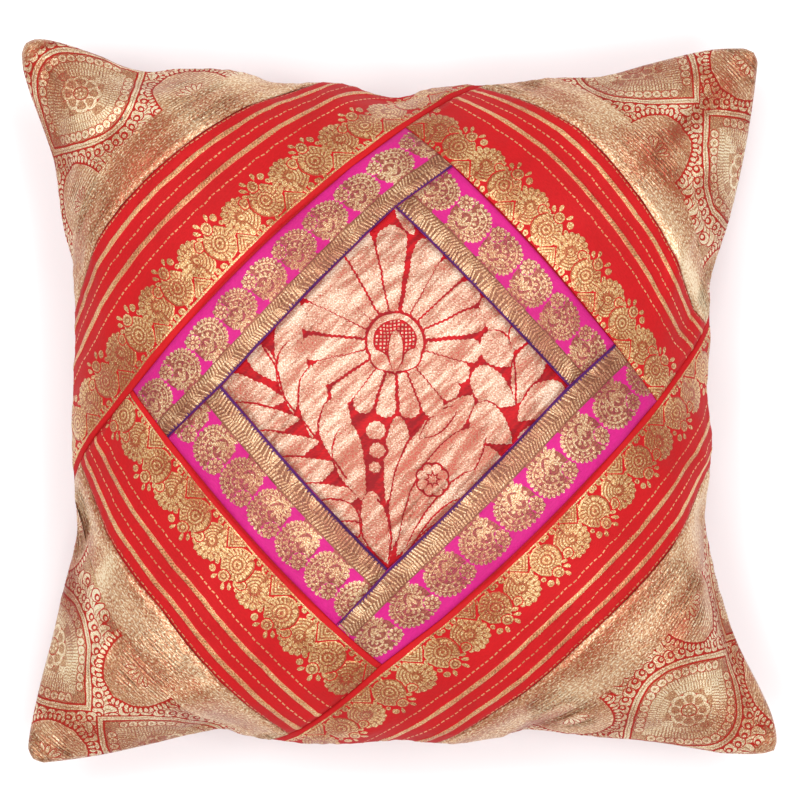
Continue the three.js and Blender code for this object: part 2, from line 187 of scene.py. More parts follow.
# Small creases that only the cloth shows, too fine for the solids.
FINE_FOLDS = (
    Fold(-186, 181, 13, 2.6, 118, -1.6),  # the turned-over top left tip
    Fold(-178, 189, 10, 2.2, 100, 1.0),
    Fold(158, 152, 34, 4.0, 45, -1.6),  # down the middle of the top right ear
    Fold(170, 128, 24, 5.0, 62, 1.4),
    Fold(176, 96, 22, 4.0, 70, -1.2),
    Fold(-158, -134, 30, 4.5, 62, 1.6),  # bright ridge in the bottom left ear
    Fold(-172, -100, 20, 4.0, 50, -1.0),
    Fold(-40, 186, 16, 4.0, 80, -1.0),
    Fold(30, 188, 16, 4.0, 95, 1.0),
    Fold(-185, 20, 16, 4.0, 0, 1.0),
    Fold(186, -30, 16, 4.0, -8, 1.0),
    Fold(60, -186, 16, 4.0, 80, 1.0),
    Fold(-40, -186, 16, 4.0, 85, -0.9),
)

# Painted highlight and shade, rows as Fold: where the gilt cloth's colour is painted lighter (lift
# above 0), as where it turns towards the light, or darker, as where it turns away from it.
PAINTED_SHINES = (
    Fold(-153, 188, 22, 13, 45, 0.35),  # top left corner
    Fold(-74, 184, 14, 12, 0, 0.5),
    Fold(-122, 129, 26, 12, 45, -0.25),
    Fold(-107, 156, 20, 8, -45, 0.35),
    Fold(-184, 196, 10, 1.6, 30, -1.0),
    Fold(-168, 166, 10, 24, 45, -0.15),
    Fold(156, 152, 50, 5, 45, -0.75),  # top right corner
    Fold(186, 136, 26, 13, -45, 0.45),
    Fold(106, 156, 14, 9, -45, 0.4),
    Fold(172, 66, 38, 8, -45, 0.8),
    Fold(200, 126, 15, 9, -45, -0.45),
    Fold(145, 117, 13, 9, -45, -0.35),
    Fold(-165, -114, 34, 5, 72, 0.9),  # bottom left corner
    Fold(-189, -140, 12, 9, -45, 0.4),
    Fold(-193, -97, 22, 14, -45, -0.8),
    Fold(-159, -88, 10, 5, 45, 0.5),
    Fold(-64, -199, 18, 7, -45, 0.5),
    Fold(85, -155, 11, 11, 0, 0.4),  # bottom right corner
    Fold(186, -44, 30, 10, 45, 0.5),
    Fold(159, -198, 11, 8, 45, 0.4),
    Fold(68, -190, 20, 10, 45, -0.35),
    Fold(150, -120, 40, 10, -45, -0.12),
    # Painted shade beside the seams
    Fold(-125, 125, 34, 5, 45, -0.45),  # beside the seams
    Fold(108, -116, 34, 5, 45, -0.3),
    # Painted shade over the lower half of the flower panel
    Fold(4, -34, 52, 26, 40, -0.45),  # lower half of the flower panel
)


def eased_reach(distance: Points, reach: float) -> Points:
    """1 at no distance, falling smoothly to 0 at the reach."""
    w = np.clip(1 - distance / reach, 0, 1)
    return w * w * (3 - 2 * w)


def summed(s: Points, t: Points, rows: tuple[Fold, ...]) -> Points:
    """The sum of all rows' soft spots at flat places."""
    out = np.zeros_like(s)
    for row in rows:
        a = math.radians(row.turn)
        du = (s - row.s) * math.cos(a) + (t - row.t) * math.sin(a)
        dv = (t - row.t) * math.cos(a) - (s - row.s) * math.sin(a)
        out += row.lift * np.exp(-((du / row.along) ** 2) - (dv / row.across) ** 2)
    return out


@dataclass(frozen=True)
class Side:
    """One side of the filled cushion in plan, between two tips."""

    start: Tip
    end: Tip
    inward: tuple[float, float]
    bow: float
    rows: tuple[Drawn, ...]

    def bow_depth(self, f: Points) -> Points:
        """The smooth part of how far the side is drawn in."""
        return self.bow * np.sin(np.pi * np.clip(f, 0, 1)) ** 1.5

    def ripple(self, f: Points) -> Points:
        """The puckers: what the full depth has beyond the smooth bow.

        Args:
            f: fraction of the side's run, 0 at its start.
        Returns:
            Depth in mm for each fraction.
        """
        along = np.array([row.along for row in self.rows])
        depth = np.array([row.depth for row in self.rows], float)
        before = np.maximum(np.arange(len(along)) - 1, 0)
        after = np.minimum(np.arange(len(along)) + 1, len(along) - 1)
        slope = (depth[after] - depth[before]) / (along[after] - along[before])
        at = np.clip(f, 0, 1) * along[-1]
        i = np.clip(np.searchsorted(along, at, side="right") - 1, 0, len(along) - 2)
        h = along[i + 1] - along[i]
        w = (at - along[i]) / h
        full = ((2 * w**3 - 3 * w**2 + 1) * depth[i] + (w**3 - 2 * w**2 + w) * h * slope[i]
                + (-2 * w**3 + 3 * w**2) * depth[i + 1] + (w**3 - w**2) * h * slope[i + 1])
        return full - self.bow_depth(f)

    def point(self, f: Points) -> tuple[Points, Points]:
        """Plan place on the side's smooth bow."""
        depth = self.bow_depth(f)
        return (self.start.x + (self.end.x - self.start.x) * f + depth * self.inward[0],
                self.start.y + (self.end.y - self.start.y) * f + depth * self.inward[1])


@dataclass(frozen=True)
class FilledForm:
    """The filled cushion as a shape: from the flat cloth to the front and the back, mm."""

    seam_height: float = 58.0
    front_crown: float = 88.0
    back_crown: float = 72.0
    floor_rounding: float = 7.0
    resting_rise: float = 1.2
    swell_power: float = 2.35
    corner_fill: float = 1.15
    spread: float = 0.19
    spread_fall: float = 4.0
    ripple_reach: float = 45.0
    ripple_depth: float = 0.8
    tip_rounding: float = 2.6
    tip_reach: float = 9.0
    rim_calm: float = 15.0
    left: Side = Side(TIP_BL, TIP_TL, (1, 0), 27, LEFT_ROWS)
    right: Side = Side(TIP_BR, TIP_TR, (-1, 0), 32.5, RIGHT_ROWS)
    top: Side = Side(TIP_TL, TIP_TR, (0, -1), 22, TOP_ROWS)
    bottom: Side = Side(TIP_BL, TIP_BR, (0, 1), 11, BOTTOM_ROWS)

    def ease(self, u: Points, v: Points) -> Points:
        """The flat place pressed towards the side, as the filling turns the cloth down."""
        c = self.spread * (1 - v * v)
        return u * (1 + c) - c * np.sign(u) * np.abs(u) ** (self.spread_fall + 1)

    def plan(self, s: Points, t: Points) -> tuple[Points, Points]:
        """Plan place of a place on the flat cloth.

        Args:
            s: flat places to the right, mm.
            t: flat places to the top, mm.
        Returns:
            x and y in mm.
        """
        off_tip = np.hypot(HALF - np.abs(s), HALF - np.abs(t))
        pull = self.tip_rounding * np.clip(1 - off_tip / self.tip_reach, 0, 1) ** 1.3
        s = s - np.sign(s) * pull
        t = t - np.sign(t) * pull
        u, v = s / HALF, t / HALF
        wa, wb = (1 + self.ease(u, v)) / 2, (1 + self.ease(v, u)) / 2
        left, right = self.left.point(wb), self.right.point(wb)
        top, bottom = self.top.point(wa), self.bottom.point(wa)
        out = []
        for i in range(2):
            out.append(left[i] * (1 - wa) + right[i] * wa + bottom[i] * (1 - wb) + top[i] * wb
                       - TIP_BL[i] * (1 - wa) * (1 - wb) - TIP_BR[i] * wa * (1 - wb)
                       - TIP_TL[i] * (1 - wa) * wb - TIP_TR[i] * wa * wb)
        reach = self.ripple_reach
        x = (out[0] + self.left.ripple(wb) * eased_reach(HALF + s, reach)
             - self.right.ripple(wb) * eased_reach(HALF - s, reach))
        y = (out[1] + self.bottom.ripple(wa) * eased_reach(HALF + t, reach)
             - self.top.ripple(wa) * eased_reach(HALF - t, reach))
        return x, y

    def swell(self, s: Points, t: Points) -> Points:
        """Swell of the filling, 1 at the middle and 0 on the side seam."""
        e = 1 - np.abs(s / HALF) ** self.swell_power
        f = 1 - np.abs(t / HALF) ** self.swell_power
        inside = (e > 1e-6) & (f > 1e-6)
        e, f = np.where(inside, e, 1), np.where(inside, f, 1)
        fill = self.corner_fill
        return np.where(inside, (e**-fill + f**-fill - 1) ** (-1 / fill), 0)

    def folds(self, s: Points, t: Points, rows: tuple[Fold, ...]) -> Points:
        """Height of the given folds, fading out at the side seam."""
        return summed(s, t, rows) * np.clip(self.off_rim(s, t) / self.rim_calm, 0, 1)

    def puckers(self, s: Points, t: Points) -> Points:
        """Height of the puckers that run inward from the side seam."""
        f, g = (t / HALF + 1) / 2, (s / HALF + 1) / 2
        lift = np.zeros_like(s)
        for side, at, distance in ((self.left, f, HALF + s), (self.right, f, HALF - s),
                                   (self.top, g, HALF - t), (self.bottom, g, HALF + t)):
            near = eased_reach(distance, self.ripple_reach)
            near = near * np.clip(distance / self.rim_calm, 0, 1)
            lift -= self.ripple_depth * side.ripple(at) * near
        return lift * np.clip(self.off_rim(s, t) / self.rim_calm, 0, 1)

    def off_rim(self, s: Points, t: Points) -> Points:
        """Distance from the side seam on the flat cloth."""
        return np.minimum(HALF - np.abs(s), HALF - np.abs(t))

    def rim_height(self, s: Points, t: Points) -> Points:
        """Height of the side seam, carried some way in over the cloth."""
        height = np.full_like(s, self.seam_height)
        for row in RIM_LIFTS:
            height += row.lift * np.exp(-((s - row.s) ** 2 + (t - row.t) ** 2) / row.reach**2)
        return height

    def front(self, s: Points, t: Points) -> Points:
        """Places on the front, rows of x, y and z in mm."""
        x, y = self.plan(s, t)
        z = (self.rim_height(s, t) + self.front_crown * self.swell(s, t)
             + self.folds(s, t, MAIN_FOLDS) + self.puckers(s, t))
        return np.stack([x, y, z], 1)

    def back(self, s: Points, t: Points) -> Points:
        """Places on the back, rows of x, y and z in mm."""
        x, y = self.plan(s, t)
        free = self.rim_height(s, t) - self.back_crown * self.swell(s, t)
        landing = np.maximum(0, free + self.floor_rounding) ** 2 / (4 * self.floor_rounding)
        z = np.where(free >= self.floor_rounding, free, landing)
        return np.stack([x, y, np.where(z < self.resting_rise, 0, z)], 1)

    def normal(self, s: Points, t: Points) -> Points:
        """Outward unit normals of the front."""
        h = 2.0
        s, t = np.clip(s, h - HALF, HALF - h), np.clip(t, h - HALF, HALF - h)
        ds = self.front(s + h, t) - self.front(s - h, t)
        dt = self.front(s, t + h) - self.front(s, t - h)
        out = np.cross(ds, dt)
        return out / np.linalg.norm(out, axis=1, keepdims=True)


FORM = FilledForm()


# Seam corners on the flat cloth, read off the photograph through the filled form.
CENTRE_TOP, CENTRE_RIGHT = Flat(2.5, 106), Flat(94.7, 10.7)
CENTRE_BOTTOM, CENTRE_LEFT = Flat(-4.4, -80.5), Flat(-90.5, 10.6)
INNER_TL_LEFT, INNER_TL_TOP = Flat(-118.5, -14.3), Flat(30.9, 128.9)
INNER_BR_BOTTOM, INNER_BR_RIGHT = Flat(-28.4, -107.3), Flat(120.6, 30.7)
OUTER_TL_LEFT, OUTER_TL_TOP = Flat(-144, 6.6), Flat(7.6, 155.6)
OUTER_BR_BOTTOM, OUTER_BR_RIGHT = Flat(-9.4, -133.8), Flat(148.9, 0.9)
EDGE_LEFT, EDGE_TOP = Flat(-200, -43), Flat(51, 200)
EDGE_BOTTOM, EDGE_RIGHT = Flat(-70, -200), Flat(200, 49)
RING_TL = (Flat(-200, 49.5), Flat(-121.5, 121), Flat(-37, 200))
RING_BR = (Flat(200, -36), Flat(114.4, -102.9), Flat(94.7, -119.7), Flat(75.9, -138.2),
           Flat(17, -200))
RING_TR = (Flat(46.8, 196.7), Flat(95.6, 150.4), Flat(123.8, 115.5), Flat(145.9, 89.9),
           Flat(178, 50), Flat(193.5, 43.5))
RING_BL = (Flat(-188.5, -33), Flat(-160, -67.5), Flat(-120.5, -105.8), Flat(-84, -153),
           Flat(-60, -188.5))

PAST_END = 160.0  # how far a seam's cut runs on past its ends
FAR = 420.0  # how far a cut reaches to its side
TOWARDS = {"tl": (-1, 1), "tr": (1, 1), "br": (1, -1), "bl": (-1, -1)}


class Seam(NamedTuple):
    """A seam that parts the named patch from what is left of the front."""

    patch: str
    side: str
    through: tuple[Flat, ...]


SEAMS = (
    Seam("corner_tl", "tl", RING_TL),
    Seam("corner_br", "br", RING_BR),
    Seam("outer_strip_tl", "tl", (EDGE_LEFT, OUTER_TL_LEFT, OUTER_TL_TOP, EDGE_TOP)),
    Seam("outer_strip_br", "br", (EDGE_BOTTOM, OUTER_BR_BOTTOM, OUTER_BR_RIGHT, EDGE_RIGHT)),
    Seam("corner_tr", "tr", RING_TR),
    Seam("corner_bl", "bl", RING_BL),
    Seam("outer_strip_tr", "tr", (OUTER_TL_TOP, OUTER_BR_RIGHT)),
    Seam("outer_strip_bl", "bl", (OUTER_TL_LEFT, OUTER_BR_BOTTOM)),
    Seam("inner_strip_tl", "tl", (INNER_TL_LEFT, CENTRE_LEFT, CENTRE_TOP, INNER_TL_TOP)),
    Seam("inner_strip_br", "br", (INNER_BR_BOTTOM, CENTRE_BOTTOM, CENTRE_RIGHT, INNER_BR_RIGHT)),
    Seam("inner_strip_tr", "tr", (CENTRE_TOP, CENTRE_RIGHT)),
    Seam("inner_strip_bl", "bl", (CENTRE_LEFT, CENTRE_BOTTOM)),
)
LAST_PATCH = "flower_panel"


def run_on(through: tuple[Flat, ...], past: float = PAST_END) -> Points:
    """The run of corners, carried on straight past both its ends."""
    run = np.array(through, float)
    ends = []
    for end, before in ((run[0], run[1]), (run[-1], run[-2])):
        ends.append(end + (end - before) / np.linalg.norm(end - before) * past)
    return np.vstack([ends[0], run, ends[1]])


def signed_area(outline: Points) -> float:
    """Area of an outline, above 0 where it runs anticlockwise."""
    nxt = np.roll(outline, -1, axis=0)
    return float(np.sum(outline[:, 0] * nxt[:, 1] - nxt[:, 0] * outline[:, 1]) / 2)


def anticlockwise(outline: Points) -> Points:
    """The outline, running anticlockwise."""
    return outline if signed_area(outline) > 0 else outline[::-1]


def boundary_loop(faces: Points) -> list[int]:
    """The one closed boundary of some triangles, as the numbers of its points in order."""
    edges = {(f[i], f[(i + 1) % 3]) for f in faces.tolist() for i in range(3)}
    onward = {a: b for a, b in edges if (b, a) not in edges}
    start = next(iter(onward))
    loop = [start]
    while onward[loop[-1]] != start:
        loop.append(onward[loop[-1]])
    return loop


def cut_patches() -> dict[str, Points]:
    """Parts the flat cover along its seams.

    Returns:
        The outline of each patch on the flat cloth, by name.
    """
    square = np.array([(-HALF, -HALF), (HALF, -HALF), (HALF, HALF), (-HALF, HALF)])
    outlines = [square]
    for seam in SEAMS[::-1]:
        run = run_on(seam.through)
        aside = np.array(TOWARDS[seam.side]) * FAR / math.sqrt(2)
        outlines.append(np.vstack([run, run[-1] + aside, run[0] + aside]))
    points, faces, last = triangulate(outlines, np.empty((0, 2)))
    names = [LAST_PATCH] + [seam.patch for seam in SEAMS[::-1]]
    return {name: points[boundary_loop(faces[last == i])] for i, name in enumerate(names)}


def inside(points: Points, outline: Points) -> Points:
    """Which points lie within a closed outline."""
    nxt = np.roll(outline, -1, 0)
    x, y = points[:, :1], points[:, 1:]
    across = (outline[:, 1] > y) != (nxt[:, 1] > y)
    rise = np.where(nxt[:, 1] == outline[:, 1], 1, nxt[:, 1] - outline[:, 1])
    at = outline[:, 0] + (nxt[:, 0] - outline[:, 0]) * (y - outline[:, 1]) / rise
    return (across & (x < at)).sum(1) % 2 == 1


def triangulate(outlines: list[Points], loose: Points) -> tuple[Points, Points, Points]:
    """Triangles of the first outline that keep every outline and loose point.

    Args:
        outlines: closed outlines, which may lie over each other.
        loose: further points.
    Returns:
        Points that triangles use, triangles, and the last outline each triangle lies in.
    """
    verts = np.vstack([*outlines, loose])
    edges, first = [], 0
    for outline in outlines:
        n = len(outline)
        edges += [(first + i, first + (i + 1) % n) for i in range(n)]
        first += n
    out = delaunay_2d_cdt([Vector(p) for p in verts.tolist()], edges, [], 0, 1e-4, False)
    points = np.array([tuple(p) for p in out[0]])
    faces = np.array(out[2], int)
    middle = points[faces].mean(1)
    kept = inside(middle, outlines[0])
    faces, middle = faces[kept], middle[kept]
    last = np.zeros(len(faces), int)
    order = np.argsort(middle[:, 0])
    sorted_x = middle[order, 0]
    for i, outline in enumerate(outlines[1:], 1):
        low, high = outline.min(0), outline.max(0)
        near = order[np.searchsorted(sorted_x, low[0]):np.searchsorted(sorted_x, high[0])]
        near = near[(middle[near, 1] >= low[1]) & (middle[near, 1] <= high[1])]
        last[near[inside(middle[near], outline)]] = i
    used, faces = np.unique(faces, return_inverse=True)
    return points[used], faces.reshape(-1, 3), last


# Shapes of the pattern work, each an outline in mm.
def disc(centre: tuple[float, float], radius: float, squash: float = 1.0, turn: float = 0.0,
         corners: int = 10) -> Points:
    """A round or oval spot.

    Args:
        centre: its middle.
        radius: half its width.
        squash: its height against its width.
        turn: degrees anticlockwise.
        corners: points round it.
    Returns:
        The outline.
    """
    a = np.linspace(0, 2 * np.pi, corners, endpoint=False)
    flat = np.stack([np.cos(a) * radius, np.sin(a) * radius * squash], 1)
    return turned(flat, turn) + np.array(centre)


def turned(points: Points, degrees: float) -> Points:
    """The points turned anticlockwise about the origin."""
    a = math.radians(degrees)
    return points @ np.array([[math.cos(a), math.sin(a)], [-math.sin(a), math.cos(a)]])


def polar(centre: tuple[float, float], radius: float, degrees: float) -> Points:
    """The place at some distance and direction from a centre."""
    a = math.radians(degrees)
    return np.array(centre) + radius * np.array([math.cos(a), math.sin(a)])


def leaf_run(base: Points, tip: Points, width: float, fullest: float, bend: float,
             q: Points) -> tuple[Points, Points]:
    """The middle line of a leaf and the step from it to the left edge, at fractions q.

    Args:
        base: where it grows from.
        tip: its far end.
        width: its greatest width.
        fullest: where along its length that is, from 0 to 1.
        bend: how far its middle bows to the left.
        q: fractions of its length.
    Returns:
        Middle points and steps.
    """
    base, tip = np.array(base, float), np.array(tip, float)
    way = tip - base
    left = np.array([-way[1], way[0]]) / max(np.hypot(*way), 1e-6)
    rise = np.sin(np.pi / 2 * np.clip(q / fullest, 0, 1)) ** 0.9
    fall = np.sqrt(np.clip(1 - (np.clip(q - fullest, 0, 1) / (1 - fullest)) ** 2, 0, 1))
    half = width / 2 * np.where(q < fullest, rise, fall)
    middle = base + way * q[:, None] + left * (bend * np.sin(np.pi * q))[:, None]
    return middle, left * half[:, None]


def leaf(base: Points, tip: Points, width: float, fullest: float = 0.55, bend: float = 0.0,
         steps: int = 6) -> Points:
    """The outline of a leaf or petal with a pointed base and a rounder tip.

    Args:
        base: where it grows from.
        tip: its far end.
        width: its greatest width.
        fullest: where along its length that is, from 0 to 1.
        bend: how far its middle bows to the left.
        steps: points along each edge.
    Returns:
        The outline.
    """
    q = (1 - np.cos(np.linspace(0, np.pi, steps + 1))) / 2
    middle, edge = leaf_run(base, tip, width, fullest, bend, q)
    return np.vstack([middle[:-1] - edge[:-1], [middle[-1]], (middle + edge)[1:-1][::-1]])


def smooth_path(corners: list[tuple[float, float]], step: float = 2.0) -> Points:
    """A smooth run through the corners, with a point every step."""
    p = np.array(corners, float)
    p = np.vstack([2 * p[0] - p[1], p, 2 * p[-1] - p[-2]])
    out = []
    for a, b, c, d in zip(p[:-3], p[1:-2], p[2:-1], p[3:]):
        n = max(1, round(np.hypot(*(c - b)) / step))
        w = (np.arange(n) / n)[:, None]
        out.append(0.5 * (2 * b + (c - a) * w + (2 * a - 5 * b + 4 * c - d) * w**2
                          + (3 * b - a - 3 * c + d) * w**3))
    return np.vstack([*out, p[-2][None]])


def ribbon(path: Points, width: float | Points) -> Points:
    """A band of some width along a path."""
    path = np.asarray(path, float)
    way = np.gradient(path, axis=0)
    way /= np.maximum(np.hypot(way[:, 0], way[:, 1]), 1e-6)[:, None]
    aside = np.stack([-way[:, 1], way[:, 0]], 1) * (np.asarray(width) / 2).reshape(-1, 1)
    return np.vstack([path - aside, (path + aside)[::-1]])


def toothed(outline: Points, pitch: float, depth: float) -> Points:
    """The outline with small square steps, as a figure has them where threads float over."""
    closed = np.vstack([outline, outline[:1]])
    run = np.concatenate([[0], np.cumsum(np.hypot(*np.diff(closed, axis=0).T))])
    n = max(8, int(run[-1] / pitch) // 2 * 2)
    at = np.arange(n) * run[-1] / n
    places = np.stack([np.interp(at, run, closed[:, i]) for i in range(2)], 1)
    way = np.roll(places, -1, 0) - np.roll(places, 1, 0)
    way /= np.maximum(np.hypot(way[:, 0], way[:, 1]), 1e-6)[:, None]
    out = np.stack([way[:, 1], -way[:, 0]], 1) * math.copysign(1, signed_area(outline))
    step = np.where(np.arange(n) % 2 == 0, depth / 2, -depth / 2)[:, None]
    return places + out * step


class Ink(Enum):
    """What a shape of the pattern is woven in."""

    GROUND = "ground"
    BASE = "base"
    LIGHT = "light"
    LINE = "line"
    EDGING = "edging"


# Colours and finishes
def linear(hexed: str, tone: float = 1.0) -> tuple[float, float, float, float]:
    """An sRGB hex colour as linear red, green, blue and 1, dimmed by some tone."""
    parts = [int(hexed[i:i + 2], 16) / 255 for i in (1, 3, 5)]
    return (*[tone * (c / 12.92 if c <= 0.04045 else ((c + 0.055) / 1.055) ** 2.4)
              for c in parts], 1.0)


def add_node(tree: bpy.types.NodeTree, kind: str, settings: dict | None = None,
             links: dict | None = None) -> bpy.types.Node:
    """Adds a node to a material.

    Args:
        tree: the material's tree.
        kind: the node's type.
        settings: its properties by name, and the values of its sockets by number or name.
        links: what goes into its sockets, by number or name.
    Returns:
        The node.
    """
    node = tree.nodes.new(kind)
    for key, value in (settings or {}).items():
        if isinstance(key, int) or key in node.inputs:
            node.inputs[key].default_value = value
        else:
            setattr(node, key, value)
    for key, source in (links or {}).items():
        tree.links.new(source, node.inputs[key])
    return node


@dataclass(frozen=True)
class WovenFinish:
    """A woven cloth: its thread colours, how they alternate, and its sheen.

    thread is the drawn spacing in mm and slub the length over which a thread
    changes. through is what shows between the threads and painted_glint the
    painted highlights (glints) on the brightest threads, each over a share of
    the cloth, with edges as soft as blend. streak gives the length and width in
    mm of the broader lighter and darker areas, painted crease shade on the
    flower cloth. The painted shine attribute lightens or darkens the colour as
    painted highlight and shade.
    tone turns a colour as seen under the bright lamps into the cloth's own.
    """

    name: str
    colour: str
    shade: str
    through: str = ""
    showing: float = 0.0
    painted_glint: str = ""
    painted_glint_share: float = 0.4
    thread: float = 0.8
    slub: float = 2.2
    crisp: float = 0.10
    streak: tuple[float, float] = (45.0, 30.0)
    streak_turn: float = 0.0
    streak_depth: float = 0.3
    metallic: float = 0.0
    roughness: float = 0.6
    sheen: float = 0.0
    relief: float = 0.12
    specular: float = 0.35
    blend: float = 0.04
    tone: float = 0.745

    def spread(self, tree: bpy.types.NodeTree, size: tuple[float, float], turn: float,
               shift: float) -> bpy.types.Node:
        """Uneven noise over the cloth.

        Args:
            tree: the material's tree.
            size: length and width of its spots, mm.
            turn: the direction of their length in degrees.
            shift: moves it aside, so that two are unlike.
        Returns:
            The noise node.
        """
        place = add_node(tree, "ShaderNodeUVMap", {"uv_map": UV_NAME})
        aligned = add_node(tree, "ShaderNodeMapping", {
            "Rotation": (0, 0, math.radians(-turn))}, {"Vector": place.outputs["UV"]})
        scaled = add_node(tree, "ShaderNodeMapping", {
            "Location": (shift, shift, 0), "Scale": (1 / size[0], 1 / size[1], 1)},
            {"Vector": aligned.outputs[0]})
        return add_node(tree, "ShaderNodeTexNoise", {
            "Scale": 1.0, "Detail": 2.0, "Roughness": 0.6}, {"Vector": scaled.outputs[0]})

    def material(self) -> bpy.types.Material:
        """The procedural material."""
        made = bpy.data.materials.new(self.name)
        made.use_nodes = True
        tree = made.node_tree
        shader = tree.nodes["Principled BSDF"]
        threads = self.spread(tree, (self.slub, self.thread), 0.0, 0.0)
        areas = self.spread(tree, self.streak, self.streak_turn, 3.7)
        sharp = add_node(tree, "ShaderNodeMapRange", {
            "From Min": 0.5 - self.crisp, "From Max": 0.5 + self.crisp},
            {"Value": threads.outputs[0]})
        broad = add_node(tree, "ShaderNodeMapRange", {
            "From Min": 0.36, "From Max": 0.64, "To Min": -self.streak_depth,
            "To Max": self.streak_depth}, {"Value": areas.outputs[0]})
        # Painted highlight and shade from the painted shine attribute, added to the broad areas
        painted_shine_attr = add_node(tree, "ShaderNodeAttribute", {"attribute_name": PAINTED_SHINE_NAME})
        streaks_and_painted_shine = add_node(tree, "ShaderNodeMath", {"operation": "ADD"}, {
            0: broad.outputs[0], 1: painted_shine_attr.outputs["Fac"]})
        both = add_node(tree, "ShaderNodeMath", {"operation": "ADD", "use_clamp": True}, {
            0: sharp.outputs[0], 1: streaks_and_painted_shine.outputs[0]})
        mixed = add_node(tree, "ShaderNodeMix", {
            "data_type": "RGBA", 6: linear(self.shade, self.tone),
            7: linear(self.colour, self.tone)}, {0: both.outputs[0]})
        colour = mixed.outputs[2]
        # Red between the threads shows more where the colour is painted darker; painted glints, as
        # painted highlights, show more where it is painted lighter
        for hexed, share, length, shift, gain in (
                (self.through, self.showing, self.slub * 0.7, 9.3, -0.14),
                (self.painted_glint, self.painted_glint_share, self.slub * 0.6, 5.1, 0.14)):
            if hexed:
                spots = self.spread(tree, (length, self.thread), 0.0, shift)
                led = add_node(tree, "ShaderNodeMath", {"operation": "MULTIPLY_ADD", 1: gain}, {
                    0: streaks_and_painted_shine.outputs[0], 2: spots.outputs[0]})
                edge = 0.66 - share * 0.3
                part = add_node(tree, "ShaderNodeMapRange", {
                    "From Min": edge - self.blend, "From Max": edge + self.blend},
                    {"Value": led.outputs[0]})
                colour = add_node(tree, "ShaderNodeMix", {
                    "data_type": "RGBA", 7: linear(hexed, self.tone)},
                    {0: part.outputs[0], 6: colour}).outputs[2]
        bump = add_node(tree, "ShaderNodeBump", {
            "Strength": 1.0, "Distance": self.relief * MM}, {"Height": threads.outputs[0]})
        tree.links.new(colour, shader.inputs["Base Color"])
        tree.links.new(bump.outputs[0], shader.inputs["Normal"])
        shader.inputs["Metallic"].default_value = self.metallic
        shader.inputs["Roughness"].default_value = self.roughness
        shader.inputs["Sheen Weight"].default_value = self.sheen
        shader.inputs["Specular IOR Level"].default_value = self.specular
        return made


# Silk taffeta, plain woven: a smooth clear colour with a faint slub and little gloss.
# Its threads are 0.3 mm apart, in all the silks drawn at 0.8 mm to show.
RED_SILK = WovenFinish("scarlet silk taffeta", "#D0161C", "#BC1418", crisp=0.3, roughness=0.65,
                       specular=0.15)
# The same silk in a strong pink that stands out beside the red
MAGENTA_SILK = WovenFinish("magenta silk taffeta", "#DC1F88", "#C41A76", crisp=0.3,
                           roughness=0.6, specular=0.2)
# Dark purple selvedge, nearly without gloss, that sets the strips off
PURPLE_SILK = WovenFinish("purple silk selvedge", "#58246A", "#3C1648", crisp=0.2,
                          specular=0.1)
# Crimson silk with painted crease shade: darker streaks across it where the flower cloth creases
PANEL_SILK = WovenFinish("crimson silk of the flower cloth", "#CC161E", "#921018", crisp=0.3,
                         streak=(26.0, 5.0), streak_turn=42.0, streak_depth=0.5, specular=0.15)
# Flat gilt thread brocaded on silk: warm, partly metallic, with red between its floats.
# Its threads are 0.25 mm apart, here and below drawn at 0.7 to 0.9 mm to show.
BORDER_GOLD = WovenFinish("gilt thread on red", "#BA7442", "#964426", "#B42C20", 0.35,
                          slub=1.4, metallic=0.35, roughness=0.4, relief=0.3)
# The same thread where it floats to the light: paler, with single painted glints
BORDER_LIGHT = WovenFinish("bright gilt thread on red", "#E2AC70", "#AC6636", "#94502C", 0.2,
                           "#FFE4AE", 0.24, slub=1.3, streak_depth=0.4, metallic=0.4,
                           roughness=0.35, relief=0.4)
# Solid gilt ribs: an even, softly shining copper gold
RIB_GOLD = WovenFinish("gilt rib thread", "#F0B27E", "#C87048", slub=1.4, metallic=0.3,
                       roughness=0.42, relief=0.3)
# Gilt over magenta: duller and pinker, as the ground shows through
PAISLEY_GOLD = WovenFinish("gilt thread on magenta", "#B0644C", "#863C36", "#B03054", 0.28,
                           slub=1.4, metallic=0.35, roughness=0.42, relief=0.3)
# Its brighter floats: cream gold with single painted glints
PAISLEY_LIGHT = WovenFinish("bright gilt thread on magenta", "#E0B284", "#AE6C4C", "#984C44",
                            0.18, "#FFE6BE", 0.22, slub=1.3, streak_depth=0.4, metallic=0.4,
                            roughness=0.35, relief=0.4)
# Dull brown gold of the fine hatched edging
HATCH_GOLD = WovenFinish("gilt edging thread", "#A06A48", "#7C4432", slub=1.4, metallic=0.35,
                         roughness=0.42, relief=0.3)
# Silver gilt thread in long floats: paler and pinker, with painted crease shade in darker diagonal
# streaks and painted glints
PALE_ZARI = WovenFinish("silver gilt figure thread", "#E0B499", "#B4765C", "#BC4C3E", 0.16,
                        "#FFE4CE", 0.2, thread=0.8, slub=1.3, crisp=0.14, streak=(26.0, 5.0),
                        streak_turn=42.0, streak_depth=0.55, metallic=0.3, roughness=0.4,
                        relief=0.35)
# Gilt tissue, gold thread across red silk: grainy, with red between and bright flecks painted as
# glints
TISSUE = WovenFinish("gilt tissue", "#DEAC80", "#A6643E", "#B2472E", 0.20, "#FFE9C4", 0.24,
                     thread=0.9, slub=2.4, crisp=0.12, streak=(60.0, 14.0), streak_depth=0.25,
                     metallic=0.4, roughness=0.36, relief=0.35, blend=0.07)
# Ground of the tissue's figures: browner and redder, with few painted glints
TISSUE_FIGURE = WovenFinish("gilt figure ground", "#C48E62", "#8E5236", "#AC3828", 0.3,
                            "#F4D8A8", 0.12, thread=0.7, slub=1.4, metallic=0.35,
                            roughness=0.4, relief=0.35)
